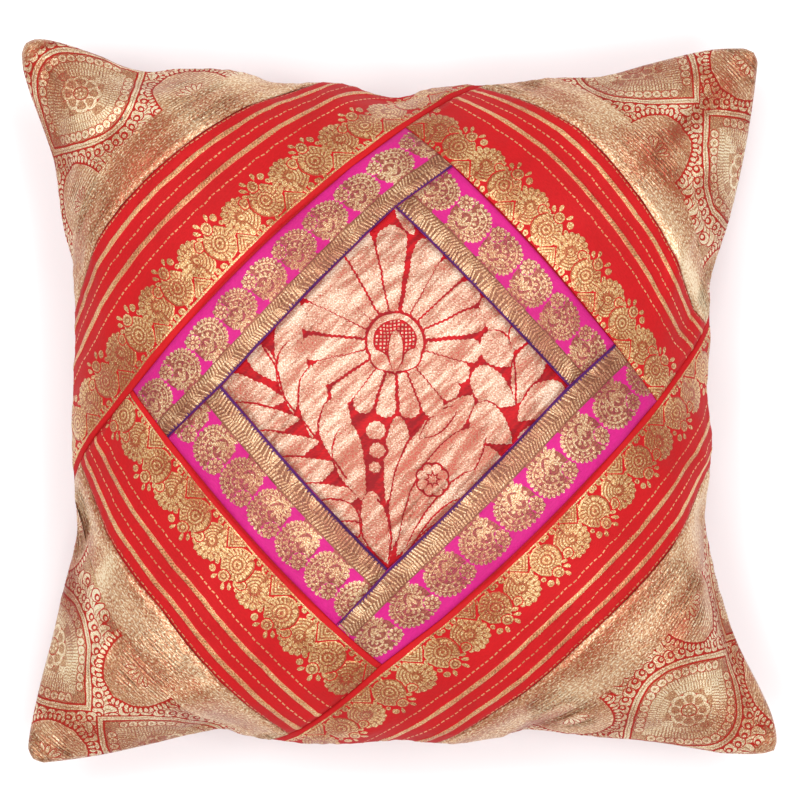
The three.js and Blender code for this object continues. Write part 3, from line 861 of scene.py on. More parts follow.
# The tissue's figures: the palest gilt, with the most painted glints
TISSUE_LIGHT = WovenFinish("bright gilt tissue thread", "#EAC698", "#B87C50", "#8E4A30", 0.16,
                           "#FFF2D2", 0.34, thread=0.7, slub=1.4, streak_depth=0.4,
                           metallic=0.4, roughness=0.35, relief=0.4)
# Bare red silk, matt, that draws the lines of the vine
TISSUE_LINE = WovenFinish("red silk between tissue figures", "#C02C22", "#96241C", crisp=0.2,
                          specular=0.08)
# Cotton cloth, plain woven: matt, soft and even, drawn at 1.1 mm for threads of 0.4 mm
BACK_CLOTH = WovenFinish("red cotton back cloth", "#C0141A", "#A21014", thread=1.1, slub=1.6,
                         crisp=0.25, streak=(60.0, 60.0), streak_depth=0.2, roughness=0.75,
                         sheen=0.12, relief=0.3, specular=0.2)


# Relief of the cloth
def waves(seed: int, count: int, shortest: float, longest: float,
          lean: float | None = None, spread: float = 180.0) -> Callable[[Points, Points], Points]:
    """Gentle unevenness as a sum of ripples.

    Args:
        seed: fixes the ripples.
        count: how many there are.
        shortest: their least length in mm.
        longest: their greatest length in mm.
        lean: the direction in degrees across the ripples, any where None.
        spread: how far the directions vary about lean.
    Returns:
        A function of flat places that gives heights of about 1 in size.
    """
    rng = np.random.default_rng(seed)
    length = np.exp(rng.uniform(math.log(shortest), math.log(longest), count))
    turn = np.radians(rng.uniform(-spread, spread, count) + (lean or 0.0))
    phase = rng.uniform(0, 2 * np.pi, count)

    def height(s: Points, t: Points) -> Points:
        """Height of the ripples at flat places."""
        out = np.zeros_like(s)
        for wave_length, a, start in zip(length, turn, phase):
            out += np.sin(2 * np.pi * (s * math.cos(a) + t * math.sin(a)) / wave_length + start)
        return out * math.sqrt(2 / count)

    return height


SWAY_S = waves(41, 6, 5, 13)
SWAY_T = waves(42, 6, 5, 13)


@dataclass
class Relief:
    """How the cloth of a patch rises and falls over the smooth form."""

    seam_drop: float = 1.25
    seam_width: float = 1.7
    pucker: float = 0.22
    pucker_reach: float = 8.0
    crumple: float = 0.16
    calm_reach: float = 2.5
    creases: Callable[[Points, Points], Points] | None = None

    def height(self, s: Points, t: Points, off_seam: Points) -> Points:
        """Height over the smooth form, mm.

        Args:
            s: flat places.
            t: flat places.
            off_seam: their distance from the patch's outline.
        Returns:
            The heights.
        """
        out = -self.seam_drop * np.exp(-((off_seam / self.seam_width) ** 2))
        calm = 1 - np.exp(-((off_seam / self.calm_reach) ** 2))
        near = np.exp(-off_seam / self.pucker_reach)
        out += self.pucker * waves(5, 9, 6.5, 13)(s, t) * near * calm
        out += self.crumple * waves(8, 14, 12, 48)(s, t) * calm
        out += FORM.folds(s, t, FINE_FOLDS) * calm
        if self.creases is not None:
            out += self.creases(s, t) * calm
        return out


def off_outline(points: Points, outline: Points) -> Points:
    """Distance of each point from a closed outline."""
    best = np.full(len(points), np.inf)
    for a, b in zip(outline, np.roll(outline, -1, 0)):
        way = b - a
        f = np.clip((points - a) @ way / (way @ way), 0, 1)
        best = np.minimum(best, np.hypot(*(points - a - f[:, None] * way).T))
    return best


def inset(outline: Points, by: float) -> Points:
    """The outline moved inward by some mm."""
    before, after = np.roll(outline, 1, 0), np.roll(outline, -1, 0)
    out = []
    for a, b, c in zip(before, outline, after):
        u, v = (b - a) / np.hypot(*(b - a)), (c - b) / np.hypot(*(c - b))
        n, m = np.array([-u[1], u[0]]), np.array([-v[1], v[0]])
        out.append(b + (n + m) / max(1 + n @ m, 0.2) * by)
    return np.array(out)


def make_mesh(name: str, points: Points, faces: Points, kinds: Points, uv: Points,
              materials: list[bpy.types.Material]) -> bpy.types.Object:
    """A smooth-shaded piece.

    Args:
        name: its name.
        points: its points in mm.
        faces: its triangles.
        kinds: the number of each triangle's material.
        uv: millimetres along the threads at each point.
        materials: its materials.
    Returns:
        The object.
    """
    mesh = bpy.data.meshes.new(name)
    mesh.vertices.add(len(points))
    mesh.vertices.foreach_set("co", (points * MM).astype(np.float32).ravel())
    mesh.loops.add(faces.size)
    mesh.loops.foreach_set("vertex_index", faces.astype(np.int32).ravel())
    mesh.polygons.add(len(faces))
    mesh.polygons.foreach_set("loop_start", np.arange(0, faces.size, 3, dtype=np.int32))
    mesh.update(calc_edges=True)
    mesh.polygons.foreach_set("material_index", kinds.astype(np.int32))
    mesh.polygons.foreach_set("use_smooth", np.ones(len(faces), bool))
    layer = mesh.uv_layers.new(name=UV_NAME)
    layer.data.foreach_set("uv", uv[faces.ravel()].astype(np.float32).ravel())
    for made in materials:
        mesh.materials.append(made)
    mesh.validate()
    piece = bpy.data.objects.new(name, mesh)
    bpy.context.scene.collection.objects.link(piece)
    return piece


@dataclass
class Patch:
    """One patch of the front: its outline, its woven figures and its cloth."""

    name: str
    slot: str
    outline: Points
    grain: float = 0.0
    fine: float = 1.8
    coarse: float = 11.0
    gap: float = 0.12
    figure_lift: float = 0.16
    sway: float = 0.16
    seam_rows: tuple[float, ...] = (0.7, 1.5, 2.5)
    seam_step: float = 1.7
    least_area: float = 0.02
    relief: Relief = field(default_factory=Relief)
    shapes: list[tuple[Points, Ink]] = field(default_factory=list)

    def finishes(self) -> dict[Ink, WovenFinish]:
        """What each ink is woven in."""
        raise NotImplementedError

    def draw(self) -> None:
        """Lays the woven figures."""
        raise NotImplementedError

    def lay(self, outline: Points, ink: Ink) -> None:
        """Lays a shape over what lies there, on the flat cloth, a little out of true."""
        sway = np.stack([SWAY_S(*outline.T), SWAY_T(*outline.T)], 1)
        outline = outline + sway * self.sway
        low, high = self.outline.min(0) - 1, self.outline.max(0) + 1
        if (outline.max(0) < low).any() or (outline.min(0) > high).any():
            return
        if abs(signed_area(outline)) > self.least_area:
            self.shapes.append((outline, ink))

    def loose_points(self, outline: Points, spacing: float) -> Points:
        """An even grid of points well inside an outline."""
        low, high = outline.min(0), outline.max(0)
        a, b = (np.arange(low[i] + spacing / 2, high[i], spacing) for i in range(2))
        grid = np.stack(np.meshgrid(a, b), -1)
        grid[1::2, :, 0] += spacing / 2
        grid = grid.reshape(-1, 2)
        return grid[off_outline(grid, outline) > spacing * 0.6]

    def seam_points(self, outline: Points) -> Points:
        """Rows of points beside the outline, where the cloth turns down into the seam."""
        rows = []
        for off in self.seam_rows:
            ring = inset(outline, off)
            for a, b in zip(ring, np.roll(ring, -1, 0)):
                n = max(1, int(np.hypot(*(b - a)) / self.seam_step))
                rows.append(a + (b - a) * (np.arange(n) / n)[:, None])
        return np.vstack(rows)

    def front_mesh(self, outline: Points) -> tuple[Points, Points, Points]:
        """Flat points, triangles and inks of the patch's face."""
        inks = list(Ink)
        outlines = [outline] + [shape for shape, _ in self.shapes]
        loose = np.vstack([self.loose_points(outline, self.fine), self.seam_points(outline)])
        flat, faces, last = triangulate(outlines, loose)
        kinds = [inks.index(Ink.GROUND)] + [inks.index(ink) for _, ink in self.shapes]
        return flat, faces, np.array(kinds)[last]

    def build(self) -> bpy.types.Object:
        """Makes the patch as a closed cloth of its figures, lying on the form."""
        self.draw()
        outline = inset(anticlockwise(self.outline), self.gap)
        flat, faces, kinds = self.front_mesh(outline)
        raised = np.zeros(len(flat))
        count = np.zeros(len(flat))
        for i in range(3):
            np.add.at(raised, faces[:, i], (kinds != list(Ink).index(Ink.GROUND)) * 1.0)
            np.add.at(count, faces[:, i], 1.0)
        lift = (self.relief.height(*flat.T, off_outline(flat, outline))
                + self.figure_lift * raised / count)
        top = FORM.front(*flat.T) + FORM.normal(*flat.T) * lift[:, None]
        loop = np.array(boundary_loop(faces))
        lower_flat, lower_faces, _ = triangulate([flat[loop]], self.loose_points(outline, self.coarse))
        lower = FORM.front(*lower_flat.T) - FORM.normal(*lower_flat.T) * CLOTH
        match = [int(np.argmin(np.hypot(*(lower_flat - p).T))) + len(flat) for p in flat[loop]]
        nxt, low_nxt = np.roll(loop, -1), np.roll(match, -1)
        walls = np.vstack([np.stack([loop, match, nxt], 1), np.stack([nxt, match, low_nxt], 1)])
        faces_all = np.vstack([faces, lower_faces[:, ::-1] + len(flat), walls])
        kinds_all = np.concatenate([kinds, np.zeros(len(lower_faces) + len(walls), int)])
        uv = turned(np.vstack([flat, lower_flat]), -self.grain)
        finishes = self.finishes()
        materials = [finish_material(finishes.get(ink, finishes[Ink.GROUND])) for ink in Ink]
        piece = make_mesh(self.name + "_cloth", np.vstack([top, lower]), faces_all, kinds_all, uv,
                          materials)
        # Painted highlight and shade at each point, for the materials
        painted_shine = piece.data.attributes.new(PAINTED_SHINE_NAME, "FLOAT", "POINT")
        painted_shine.data.foreach_set("value", summed(*np.vstack([flat, lower_flat]).T, PAINTED_SHINES)
                               .astype(np.float32))
        smooth = FORM.front(*lower_flat.T)[lower_faces]
        self.declare(piece)
        return piece

    def declare(self, piece: bpy.types.Object) -> None:
        """Attaches the piece to the root body and hides the part it stands for.

        Args:
            piece: the patch's cloth.
        """
        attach(piece, "root")
        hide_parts(self.name)


MADE: dict[str, bpy.types.Material] = {}


def finish_material(finish: WovenFinish) -> bpy.types.Material:
    """The finish's material, made once."""
    if finish.name not in MADE:
        MADE[finish.name] = finish.material()
    return MADE[finish.name]


@dataclass
class StripFrame:
    """Places along a strip: a along it, h from its inner seam outward, mm."""

    origin: Flat
    ahead: Flat
    inner: tuple[Flat, ...]
    outer: tuple[Flat, ...]
    width: float

    def axes(self) -> tuple[Points, Points]:
        """Unit directions along the strip and outward."""
        along = np.array(self.ahead) - np.array(self.origin)
        along = along / np.hypot(*along)
        return along, np.array([-along[1], along[0]])

    def seam_at(self, seam: tuple[Flat, ...], a: Points) -> Points:
        """How far outward a seam lies at places along the strip."""
        along, out = self.axes()
        run = run_on(seam) - np.array(self.origin)
        at, off = run @ along, run @ out
        order = np.argsort(at)
        return np.interp(a, at[order], off[order])

    def place(self, points: Points) -> Points:
        """Flat places of strip places."""
        along, out = self.axes()
        a, h = points[:, 0], points[:, 1]
        inner, outer = self.seam_at(self.inner, a), self.seam_at(self.outer, a)
        off = inner + h / self.width * (outer - inner)
        return np.array(self.origin) + a[:, None] * along + off[:, None] * out

    def grain(self) -> float:
        """The strip's direction in degrees."""
        along, _ = self.axes()
        return math.degrees(math.atan2(along[1], along[0]))


@dataclass
class Strip(Patch):
    """A patch cut along a woven border."""

    frame: StripFrame | None = None
    first: float = 0.0
    pitch: float = 20.0
    reach: float = 175.0

    def put(self, outline: Points, ink: Ink) -> None:
        """Lays a shape given in strip places."""
        self.lay(self.frame.place(outline), ink)

    def line(self, h: float, width: float, ink: Ink) -> None:
        """Lays a straight line along the whole strip."""
        a = np.arange(-self.reach, self.reach + 1, 12.0)
        self.put(ribbon(np.stack([a, np.full_like(a, h)], 1), width), ink)

    def places(self) -> Points:
        """Where the repeat's units stand along the strip."""
        start = self.first - math.ceil((self.reach + self.first) / self.pitch) * self.pitch
        return np.arange(start, self.reach + self.pitch, self.pitch)


@dataclass
class RibbedStrip(Strip):
    """Red border: a gold flower and bird band, then ribs and dashed lines."""

    line_at: float = 3.2
    ribs: tuple[float, ...] = (39.6, 53.2)
    rib_width: float = 2.5
    dashed: tuple[float, ...] = (32.6, 46.4, 59.7)
    dash: float = 2.1
    dash_gap: float = 1.1
    dash_width: float = 0.7
    lowered: float = 0.0
    twill_pitch: float = 1.9
    fan_at: tuple[float, float] = (0.24, 15.6)
    bird_at: tuple[float, float] = (0.70, 13.6)
    chevrons_at: tuple[float, float] = (0.01, 3.7)

    def finishes(self) -> dict[Ink, WovenFinish]:
        """Gilt on scarlet."""
        return {Ink.GROUND: RED_SILK, Ink.BASE: BORDER_GOLD, Ink.LIGHT: BORDER_LIGHT,
                Ink.EDGING: RIB_GOLD}

    def draw(self) -> None:
        """Lays ribs, dashes and the figured band."""
        if self.lowered < self.line_at:
            self.line(self.line_at, 0.9, Ink.LIGHT)
        for h in self.ribs:
            self.line(h, self.rib_width, Ink.EDGING)
            low, high = h - self.rib_width / 2 + 0.2, h + self.rib_width / 2 - 0.2
            for a in np.arange(-self.reach, self.reach, self.twill_pitch):
                self.put(ribbon(np.array([(a, low), (a + 1.6, high)]), 0.7), Ink.LIGHT)
        for h in self.dashed:
            low, high = h - self.dash_width / 2, h + self.dash_width / 2
            for a in np.arange(-self.reach, self.reach, self.dash + self.dash_gap):
                self.put(np.array([(a, low), (a + self.dash, low), (a + self.dash, high),
                                   (a, high)]), Ink.EDGING)
        for a in self.places():
            fan, bird, chevrons = [(a + share * self.pitch, h - self.lowered) for share, h in
                                   (self.fan_at, self.bird_at, self.chevrons_at)]
            self.fan(fan)
            self.bird(bird)
            self.triangle(*chevrons)

    def triangle(self, a: float, foot: float) -> None:
        """Nested chevrons at the inner edge between two units."""
        for half, top, ink in ((7.8, 8.7, Ink.GROUND), (6.6, 7.3, Ink.BASE)):
            self.put(np.array([(a - half, foot), (a + half, foot), (a, foot + top)]), ink)
        for half, top in ((6.2, 6.9), (4.2, 4.6), (2.2, 2.4)):
            path = np.array([(a - half, foot + 0.2), (a, foot + top), (a + half, foot + 0.2)])
            self.put(ribbon(path, 1.1), Ink.LIGHT)

    def lobes(self, centre: tuple[float, float], near: float, far: float, width: float,
              count: int, start: float = 0.0, turn: float = 360.0) -> None:
        """Bright rounded petals standing round a centre."""
        for k in range(count):
            way = start + turn * k / count
            self.put(leaf(polar(centre, near, way), polar(centre, far, way), width, 0.6, 0, 4),
                     Ink.LIGHT)

    def arcs(self, centre: tuple[float, float], radii: tuple[float, ...], start: float,
             turn: float) -> None:
        """Bright curved stripes about a centre."""
        for radius in radii:
            steps = np.radians(start + turn * np.linspace(0, 1, 9))
            path = np.array(centre) + radius * np.stack([np.cos(steps), np.sin(steps)], 1)
            self.put(ribbon(path, 1.05), Ink.LIGHT)

    def ringed(self, centre: tuple[float, float], radius: float) -> None:
        """A ring with a dot in it, red round it."""
        self.put(disc(centre, radius + 0.6, corners=12), Ink.GROUND)
        self.put(disc(centre, radius, corners=12), Ink.LIGHT)
        self.put(disc(centre, radius - 1.0, corners=10), Ink.BASE)
        self.put(disc(centre, max(radius - 1.8, 0.7), corners=8), Ink.LIGHT)

    def bead(self, centre: tuple[float, float], radius: float) -> None:
        """A bead with a darker hole."""
        self.put(disc(centre, radius, corners=9), Ink.LIGHT)
        self.put(disc(centre, radius * 0.4, corners=6), Ink.BASE)

    def fan(self, centre: tuple[float, float]) -> None:
        """A spread tail: two rows of lobes, curved stripes and a ringed eye."""
        a, h = centre
        self.put(disc(centre, 9.9, 1.0, corners=20), Ink.BASE)
        self.lobes(centre, 6.4, 10.6, 3.1, 12, 28, 252)
        self.lobes(centre, 3.2, 6.9, 2.6, 9, 34, 250)
        self.arcs(centre, (2.4, 4.1, 5.8, 7.6, 9.3), -82, 98)
        self.put(disc(centre, 2.2, corners=9), Ink.BASE)
        self.bead(centre, 1.7)
        self.ringed((a + 6.3, h + 3.6), 2.5)
        for x, y, radius in ((-7.8, -8.6, 2.0), (-3.2, -11.0, 1.6), (0.6, -10.9, 1.3),
                             (4.4, -10.6, 1.7), (8.2, -10.6, 1.2), (-10.4, -3.4, 1.1)):
            self.bead((a + x, h + y), radius)

    def bird(self, centre: tuple[float, float]) -> None:
        """A curled bird: striped wing round a ringed breast, head, crest and beads."""
        a, h = centre
        self.put(disc(centre, 9.3, 1.0, corners=20), Ink.GROUND)
        self.put(disc(centre, 8.7, 1.0, corners=20), Ink.BASE)
        for k in range(15):
            way = -112 + 17 * k
            self.put(ribbon(np.stack([polar(centre, 4.9, way), polar(centre, 8.3, way + 9)]), 1.15),
                     Ink.LIGHT)
        self.arcs(centre, (8.7,), -112, 225)
        self.lobes(centre, 4.9, 8.0, 2.6, 5, 150, 100)
        self.put(disc(centre, 4.3, corners=14), Ink.LIGHT)
        self.put(disc(centre, 3.3, corners=12), Ink.BASE)
        self.put(disc(centre, 2.2, corners=10), Ink.LIGHT)
        self.put(disc(centre, 1.1, corners=8), Ink.BASE)
        self.ringed((a + 0.4, h + 9.4), 3.0)
        for x, y, way in ((-4.2, 6.6, 152), (-3.6, 9.2, 140), (-1.8, 11.4, 118), (3.4, 11.2, 66)):
            base = (a + x, h + y)
            self.put(leaf(base, polar(base, 4.2, way), 2.3, 0.6, 0, 4), Ink.LIGHT)
        self.ringed((a + 7.6, h + 11.0), 1.9)
        for x, y, radius in ((8.6, 6.9, 1.3), (-6.6, -9.0, 1.5), (-2.6, -9.3, 1.1),
                             (5.2, -9.0, 1.3), (-8.8, 6.4, 1.2)):
            self.bead((a + x, h + y), radius)


@dataclass
class PaisleyStrip(Strip):
    """Magenta border: a purple selvedge, a hatched gold band and a row of paisleys."""

    selvedge: float = 1.1
    band_to: float = 10.4
    hatch_pitch: float = 1.75
    hatch_lean: float = 1.5
    hatch_sway: float = 0.6
    top: float = 31.4
    tick_pitch: float = 2.1
    heart_leaves: int = 14
    share: float = 0.96
    teeth: int = 28
    squareness: float = 0.82

    def finishes(self) -> dict[Ink, WovenFinish]:
        """Gilt on magenta with a purple edge."""
        return {Ink.GROUND: MAGENTA_SILK, Ink.BASE: PAISLEY_GOLD, Ink.LIGHT: PAISLEY_LIGHT,
                Ink.LINE: PURPLE_SILK, Ink.EDGING: HATCH_GOLD}

    def draw(self) -> None:
        """Lays the paisleys, the hatched band and the selvedge."""
        for a in self.places():
            self.paisley(a)
        middle = (self.selvedge + self.band_to) / 2
        self.line(middle, self.band_to - self.selvedge + 1.0, Ink.EDGING)
        self.line(self.selvedge / 2, self.selvedge, Ink.LINE)
        for a in np.arange(-self.reach, self.reach, self.tick_pitch):
            self.put(ribbon(np.array([(a, 0.2), (a + 0.4, self.selvedge + 0.9)]), 0.7), Ink.LINE)
        low, high = self.selvedge + 0.3, self.band_to - 0.2
        bend = low + 0.55 * (high - low)
        for k in np.arange(-self.reach, self.reach, self.hatch_pitch):
            for start, stop, shift, lean in ((low, bend, 0.0, -self.hatch_lean),
                                             (bend, high, 47.0, self.hatch_lean)):
                uneven = float(SWAY_S(np.array([k * 0.8 + shift]), np.array([shift]))[0])
                a = k + self.hatch_sway * uneven
                path = np.array([(a, start), (a + lean * (0.8 - 0.5 * uneven), stop)])
                self.put(ribbon(path, 0.85 + 0.15 * uneven), Ink.LIGHT)

    def egg(self, a: float, grow: float) -> Points:
        """The paisley's outline about its middle, grown or shrunk."""
        high = (self.top - self.band_to) / 2 - 0.6
        middle = (self.top + self.band_to) / 2 + 0.9
        q = np.linspace(0, 2 * np.pi, self.teeth, endpoint=False)
        square = self.squareness
        x = np.sign(np.sin(q)) * np.abs(np.sin(q)) ** square * self.pitch * self.share / 2
        y = np.sign(np.cos(q)) * np.abs(np.cos(q)) ** square * high
        x = x - 1.4 * np.clip(y / high, 0, 1) ** 2
        return np.stack([a + x * grow, middle + y * grow], 1)

    def paisley(self, a: float) -> None:
        """One paisley with its foot, toothed edge, rings, stripes and curl."""
        foot = self.band_to
        half = self.pitch * self.share / 2
        self.put(np.array([(a - half * 0.66, foot - 1), (a + half * 0.66, foot - 1),
                           (a + half * 0.5, foot + 4), (a - half * 0.5, foot + 4)]), Ink.BASE)
        self.put(self.egg(a, 0.97), Ink.BASE)
        outer, inner = self.egg(a, 1.06), self.egg(a, 0.82)
        ring, core = self.egg(a, 0.70), self.egg(a, 0.52)
        for k in range(self.teeth):
            if k <= 0.66 * self.teeth or k >= 0.88 * self.teeth:
                self.put(leaf(inner[k], outer[k], 2.0, 0.65, 0, 4), Ink.LIGHT)
            if k % 2 == 0 and k <= 0.55 * self.teeth:
                self.put(leaf(core[k], ring[k], 2.1, 0.65, 0, 4), Ink.LIGHT)
        for grow in (0.77, 0.48):
            self.put(ribbon(self.egg(a, grow)[:round(0.64 * self.teeth)], 0.95), Ink.LIGHT)
        middle = (self.top + self.band_to) / 2 - 1.8
        heart = (a - 2.4, middle)
        for k in range(self.heart_leaves):
            way = 25.7 * k
            self.put(leaf(polar(heart, 4.6, way), polar(heart, 7.2, way), 1.9, 0.6, 0, 4), Ink.LIGHT)
        for radius, ink in ((4.8, Ink.LIGHT), (3.9, Ink.BASE)):
            self.put(disc(heart, radius, 1.25, 18, 14), ink)
        for way in (58, 90, 122):
            base = (heart[0], middle - 3.8)
            self.put(leaf(base, polar(base, 7.0, way), 2.1, 0.6, 0, 5), Ink.LIGHT)
        for k in (0, 1, 2):
            base = (a - half * 0.7 + 0.2 * k, foot + 0.8 + 2.4 * k)
            self.put(leaf(base, (base[0] + 3.4, base[1] + 1.8), 2.2, 0.6, 0, 4), Ink.LIGHT)
        curl = (a - half * 0.72, self.top - 4.6)
        self.put(disc(curl, 4.5, corners=12), Ink.GROUND)
        self.put(disc(curl, 4.0, corners=10), Ink.BASE)
        for k in range(8):
            self.put(leaf(polar(curl, 1.5, 45 * k), polar(curl, 4.4, 45 * k), 2.1, 0.6, 0, 4),
                     Ink.LIGHT)
        self.put(disc(curl, 1.0, corners=6), Ink.LIGHT)


class Petal(NamedTuple):
    """A petal of the big flower: its direction in degrees and how far it reaches, mm."""

    turn: float
    reach: float


class LeafRow(NamedTuple):
    """A leaf of the flower panel, in flat mm, with its greatest width and its bow."""

    base_s: float
    base_t: float
    tip_s: float
    tip_t: float
    width: float
    fullest: float
    bend: float


PETALS = (
    Petal(92, 61), Petal(70, 58), Petal(52, 54), Petal(33, 52), Petal(14, 49), Petal(-7, 46),
    Petal(-25, 43), Petal(-41, 43), Petal(-59, 44), Petal(-78, 40), Petal(-99, 39),
    Petal(-119, 41), Petal(-137, 45), Petal(-157, 48), Petal(-175, 50), Petal(165, 54),
    Petal(147, 60), Petal(130, 64), Petal(111, 64),
)

LEAVES = (
    # right-hand branch
    LeafRow(62, -32, 84, -8, 14, 0.6, 2), LeafRow(66, 2, 44, 21, 18, 0.6, 2),
    LeafRow(64, 32, 48, 58, 16, 0.5, -2), LeafRow(66, 22, 49, 39, 16, 0.55, 1),
    LeafRow(66, 2, 80, 33, 17, 0.66, 2), LeafRow(66, -6, 93, 10, 17, 0.6, 2),
    LeafRow(63, -17, 44, 3, 19, 0.6, 2), LeafRow(60, -34, 42, -20, 16, 0.6, 1),
    LeafRow(64, 30, 71, 44, 11, 0.6, 0),
    # lower left branch
    LeafRow(-58, 16, -50, 56, 18, 0.55, -2), LeafRow(-60, 14, -76, 32, 13, 0.6, -1),
    LeafRow(-55, 5, -93, 14, 17, 0.6, 3), LeafRow(-48, -4, -88, -2, 17, 0.6, 4),
    LeafRow(-38, -15, -76, -16, 16, 0.6, 4), LeafRow(-28, -26, -64, -29, 16, 0.6, 4),
    LeafRow(-16, -40, -52, -42, 16, 0.6, 4), LeafRow(-52, -2, -50, 36, 16, 0.6, 1),
    LeafRow(-42, -14, -39, 24, 15, 0.58, 1), LeafRow(-28, -27, -28, 8, 17, 0.55, 2),
    LeafRow(-15, -46, -24, -6, 16, 0.6, 3),
    # under the flower
    LeafRow(-10, -60, -44, -50, 13, 0.6, -3), LeafRow(-7, -68, -34, -60, 11, 0.55, -2),
    LeafRow(-4, -46, 4, -2, 13, 0.6, -2), LeafRow(-4, -78, -12, -40, 14, 0.5, 2),
    # broad blades at the lower right
    LeafRow(-3, -72, 43, 8, 19, 0.62, 9), LeafRow(14, -14, 34, 2, 8, 0.5, 0),
    LeafRow(0, -74, 47, -9, 22, 0.66, 3), LeafRow(2, -76, 47, -31, 20, 0.6, -2),
    LeafRow(4, -78, 38, -46, 17, 0.6, -2), LeafRow(2, -80, 26, -58, 13, 0.6, -2),
    LeafRow(2, 108, 12, 91, 6, 0.5, 0),
)

# Thin red veins and outlines, each a run of flat corners.
VEINS = (
    ((66, -22), (66, -4), (66, 14), (65, 30)),
    ((-68, 33), (-60, 20), (-56, 6), (-46, -6), (-36, -18), (-24, -34)),
    ((-9, -44), (-4, -50), (-2, -64), (-4, -76)),
    ((-21, -47), (-17, -56), (-19, -64), (-24, -62)),
)


@dataclass
class FlowerPanel(Patch):
    """Centre square: a big many-petalled flower, leaf branches and beads on crimson."""

    centre: tuple[float, float] = (2.5, 35.5)
    ring: float = 15.3
    rim: float = 12.6
    mesh_pitch: float = 1.9
    petal_gap: float = 1.0
    step: float = 1.3
    step_depth: float = 0.55

    def finishes(self) -> dict[Ink, WovenFinish]:
        """Silver gilt figures on crimson."""
        return {Ink.GROUND: PANEL_SILK, Ink.BASE: PALE_ZARI, Ink.LIGHT: PALE_ZARI}

    def draw(self) -> None:
        """Lays leaves, flower, beads and the small rosette."""
        for row in LEAVES:
            base, tip = (row.base_s, row.base_t), (row.tip_s, row.tip_t)
            self.lay(leaf(base, tip, row.width + 2.0, row.fullest, row.bend, 9), Ink.GROUND)
            shape = leaf(base, tip, row.width, row.fullest, row.bend, 9)
            self.lay(toothed(shape, self.step, self.step_depth), Ink.BASE)
        for run in VEINS:
            path = smooth_path(list(run), 1.3)
            wide = np.where(np.arange(len(path)) % 2 == 0, 0.7, 1.5)
            self.lay(ribbon(path, wide), Ink.GROUND)
        self.flower()
        for s, t, radius in ((-8.5, -9.5, 5.2), (-8, -19.5, 4.3), (-9.5, -28, 3.2)):
            self.lay(disc((s, t), radius + 1.6, 1.0, 0, 14), Ink.GROUND)
            self.lay(toothed(disc((s, t), radius, 0.92, 0, 14), self.step, 0.5), Ink.BASE)
        self.rosette((20.5, -34.5), 9.4)

    def petal(self, row: Petal) -> None:
        """One long petal, widening with its distance from the middle."""
        share = math.radians(19.0)
        q = np.linspace(0, 1, 14)
        r = self.ring + 0.8 + (row.reach - self.ring - 0.8) * q
        half = (share * r - self.petal_gap) / 2
        full = 0.74
        half = half * np.sqrt(np.clip(1 - (np.clip(q - full, 0, 1) / (1 - full)) ** 2, 0, 1))
        shape = np.vstack([np.stack([r, -half], 1), np.stack([r, half], 1)[::-1][1:]])
        place = turned(shape, row.turn) + np.array(self.centre)
        self.lay(toothed(place, self.step, self.step_depth), Ink.BASE)

    def flower(self) -> None:
        """The flower: red space, petals, ring, meshed middle and three buds."""
        around = [polar(self.centre, row.reach * 0.93 + 1.0, row.turn) for row in PETALS]
        self.lay(np.array(around), Ink.GROUND)
        for row in PETALS:
            self.petal(row)
        c = self.centre
        self.lay(toothed(disc(c, self.ring + 0.6, 1.0, 0, 40), self.step, 0.5), Ink.GROUND)
        self.lay(disc(c, self.ring - 0.7, 1.0, 0, 40), Ink.BASE)
        self.lay(disc((c[0], c[1] + 1.2), self.rim - 1.2, 0.92, 0, 36), Ink.GROUND)
        reach = self.rim - 2.4
        for k in np.arange(-reach + 0.6, reach, self.mesh_pitch):
            for m in np.arange(-reach + 0.6, reach, self.mesh_pitch):
                if math.hypot(k, m * 1.05) < reach:
                    x, y, e = c[0] + k, c[1] + 1.2 + m, 0.48
                    self.lay(np.array([(x - e, y - e), (x + e, y - e), (x + e, y + e),
                                       (x - e, y + e)]), Ink.BASE)
        for base, tip, width in (((-1, 21), (-9.5, 31), 8.0), ((6, 21), (15, 32), 8.0),
                                 ((2.4, 19.5), (3, 41.5), 7.6)):
            self.lay(leaf(base, tip, width + 1.8, 0.55, 0, 8), Ink.GROUND)
            self.lay(leaf(base, tip, width, 0.55, 0, 8), Ink.BASE)

    def rosette(self, centre: tuple[float, float], radius: float) -> None:
        """A small flower in thin red lines on the broad blades."""
        for k in range(8):
            base, tip = polar(centre, 1.6, 45 * k + 22), polar(centre, radius, 45 * k + 22)
            self.lay(leaf(base, tip, 7.4, 0.66, 0, 7), Ink.GROUND)
        for k in range(8):
            base, tip = polar(centre, 2.4, 45 * k + 22), polar(centre, radius - 1.0, 45 * k + 22)
            self.lay(leaf(base, tip, 5.0, 0.66, 0, 7), Ink.BASE)


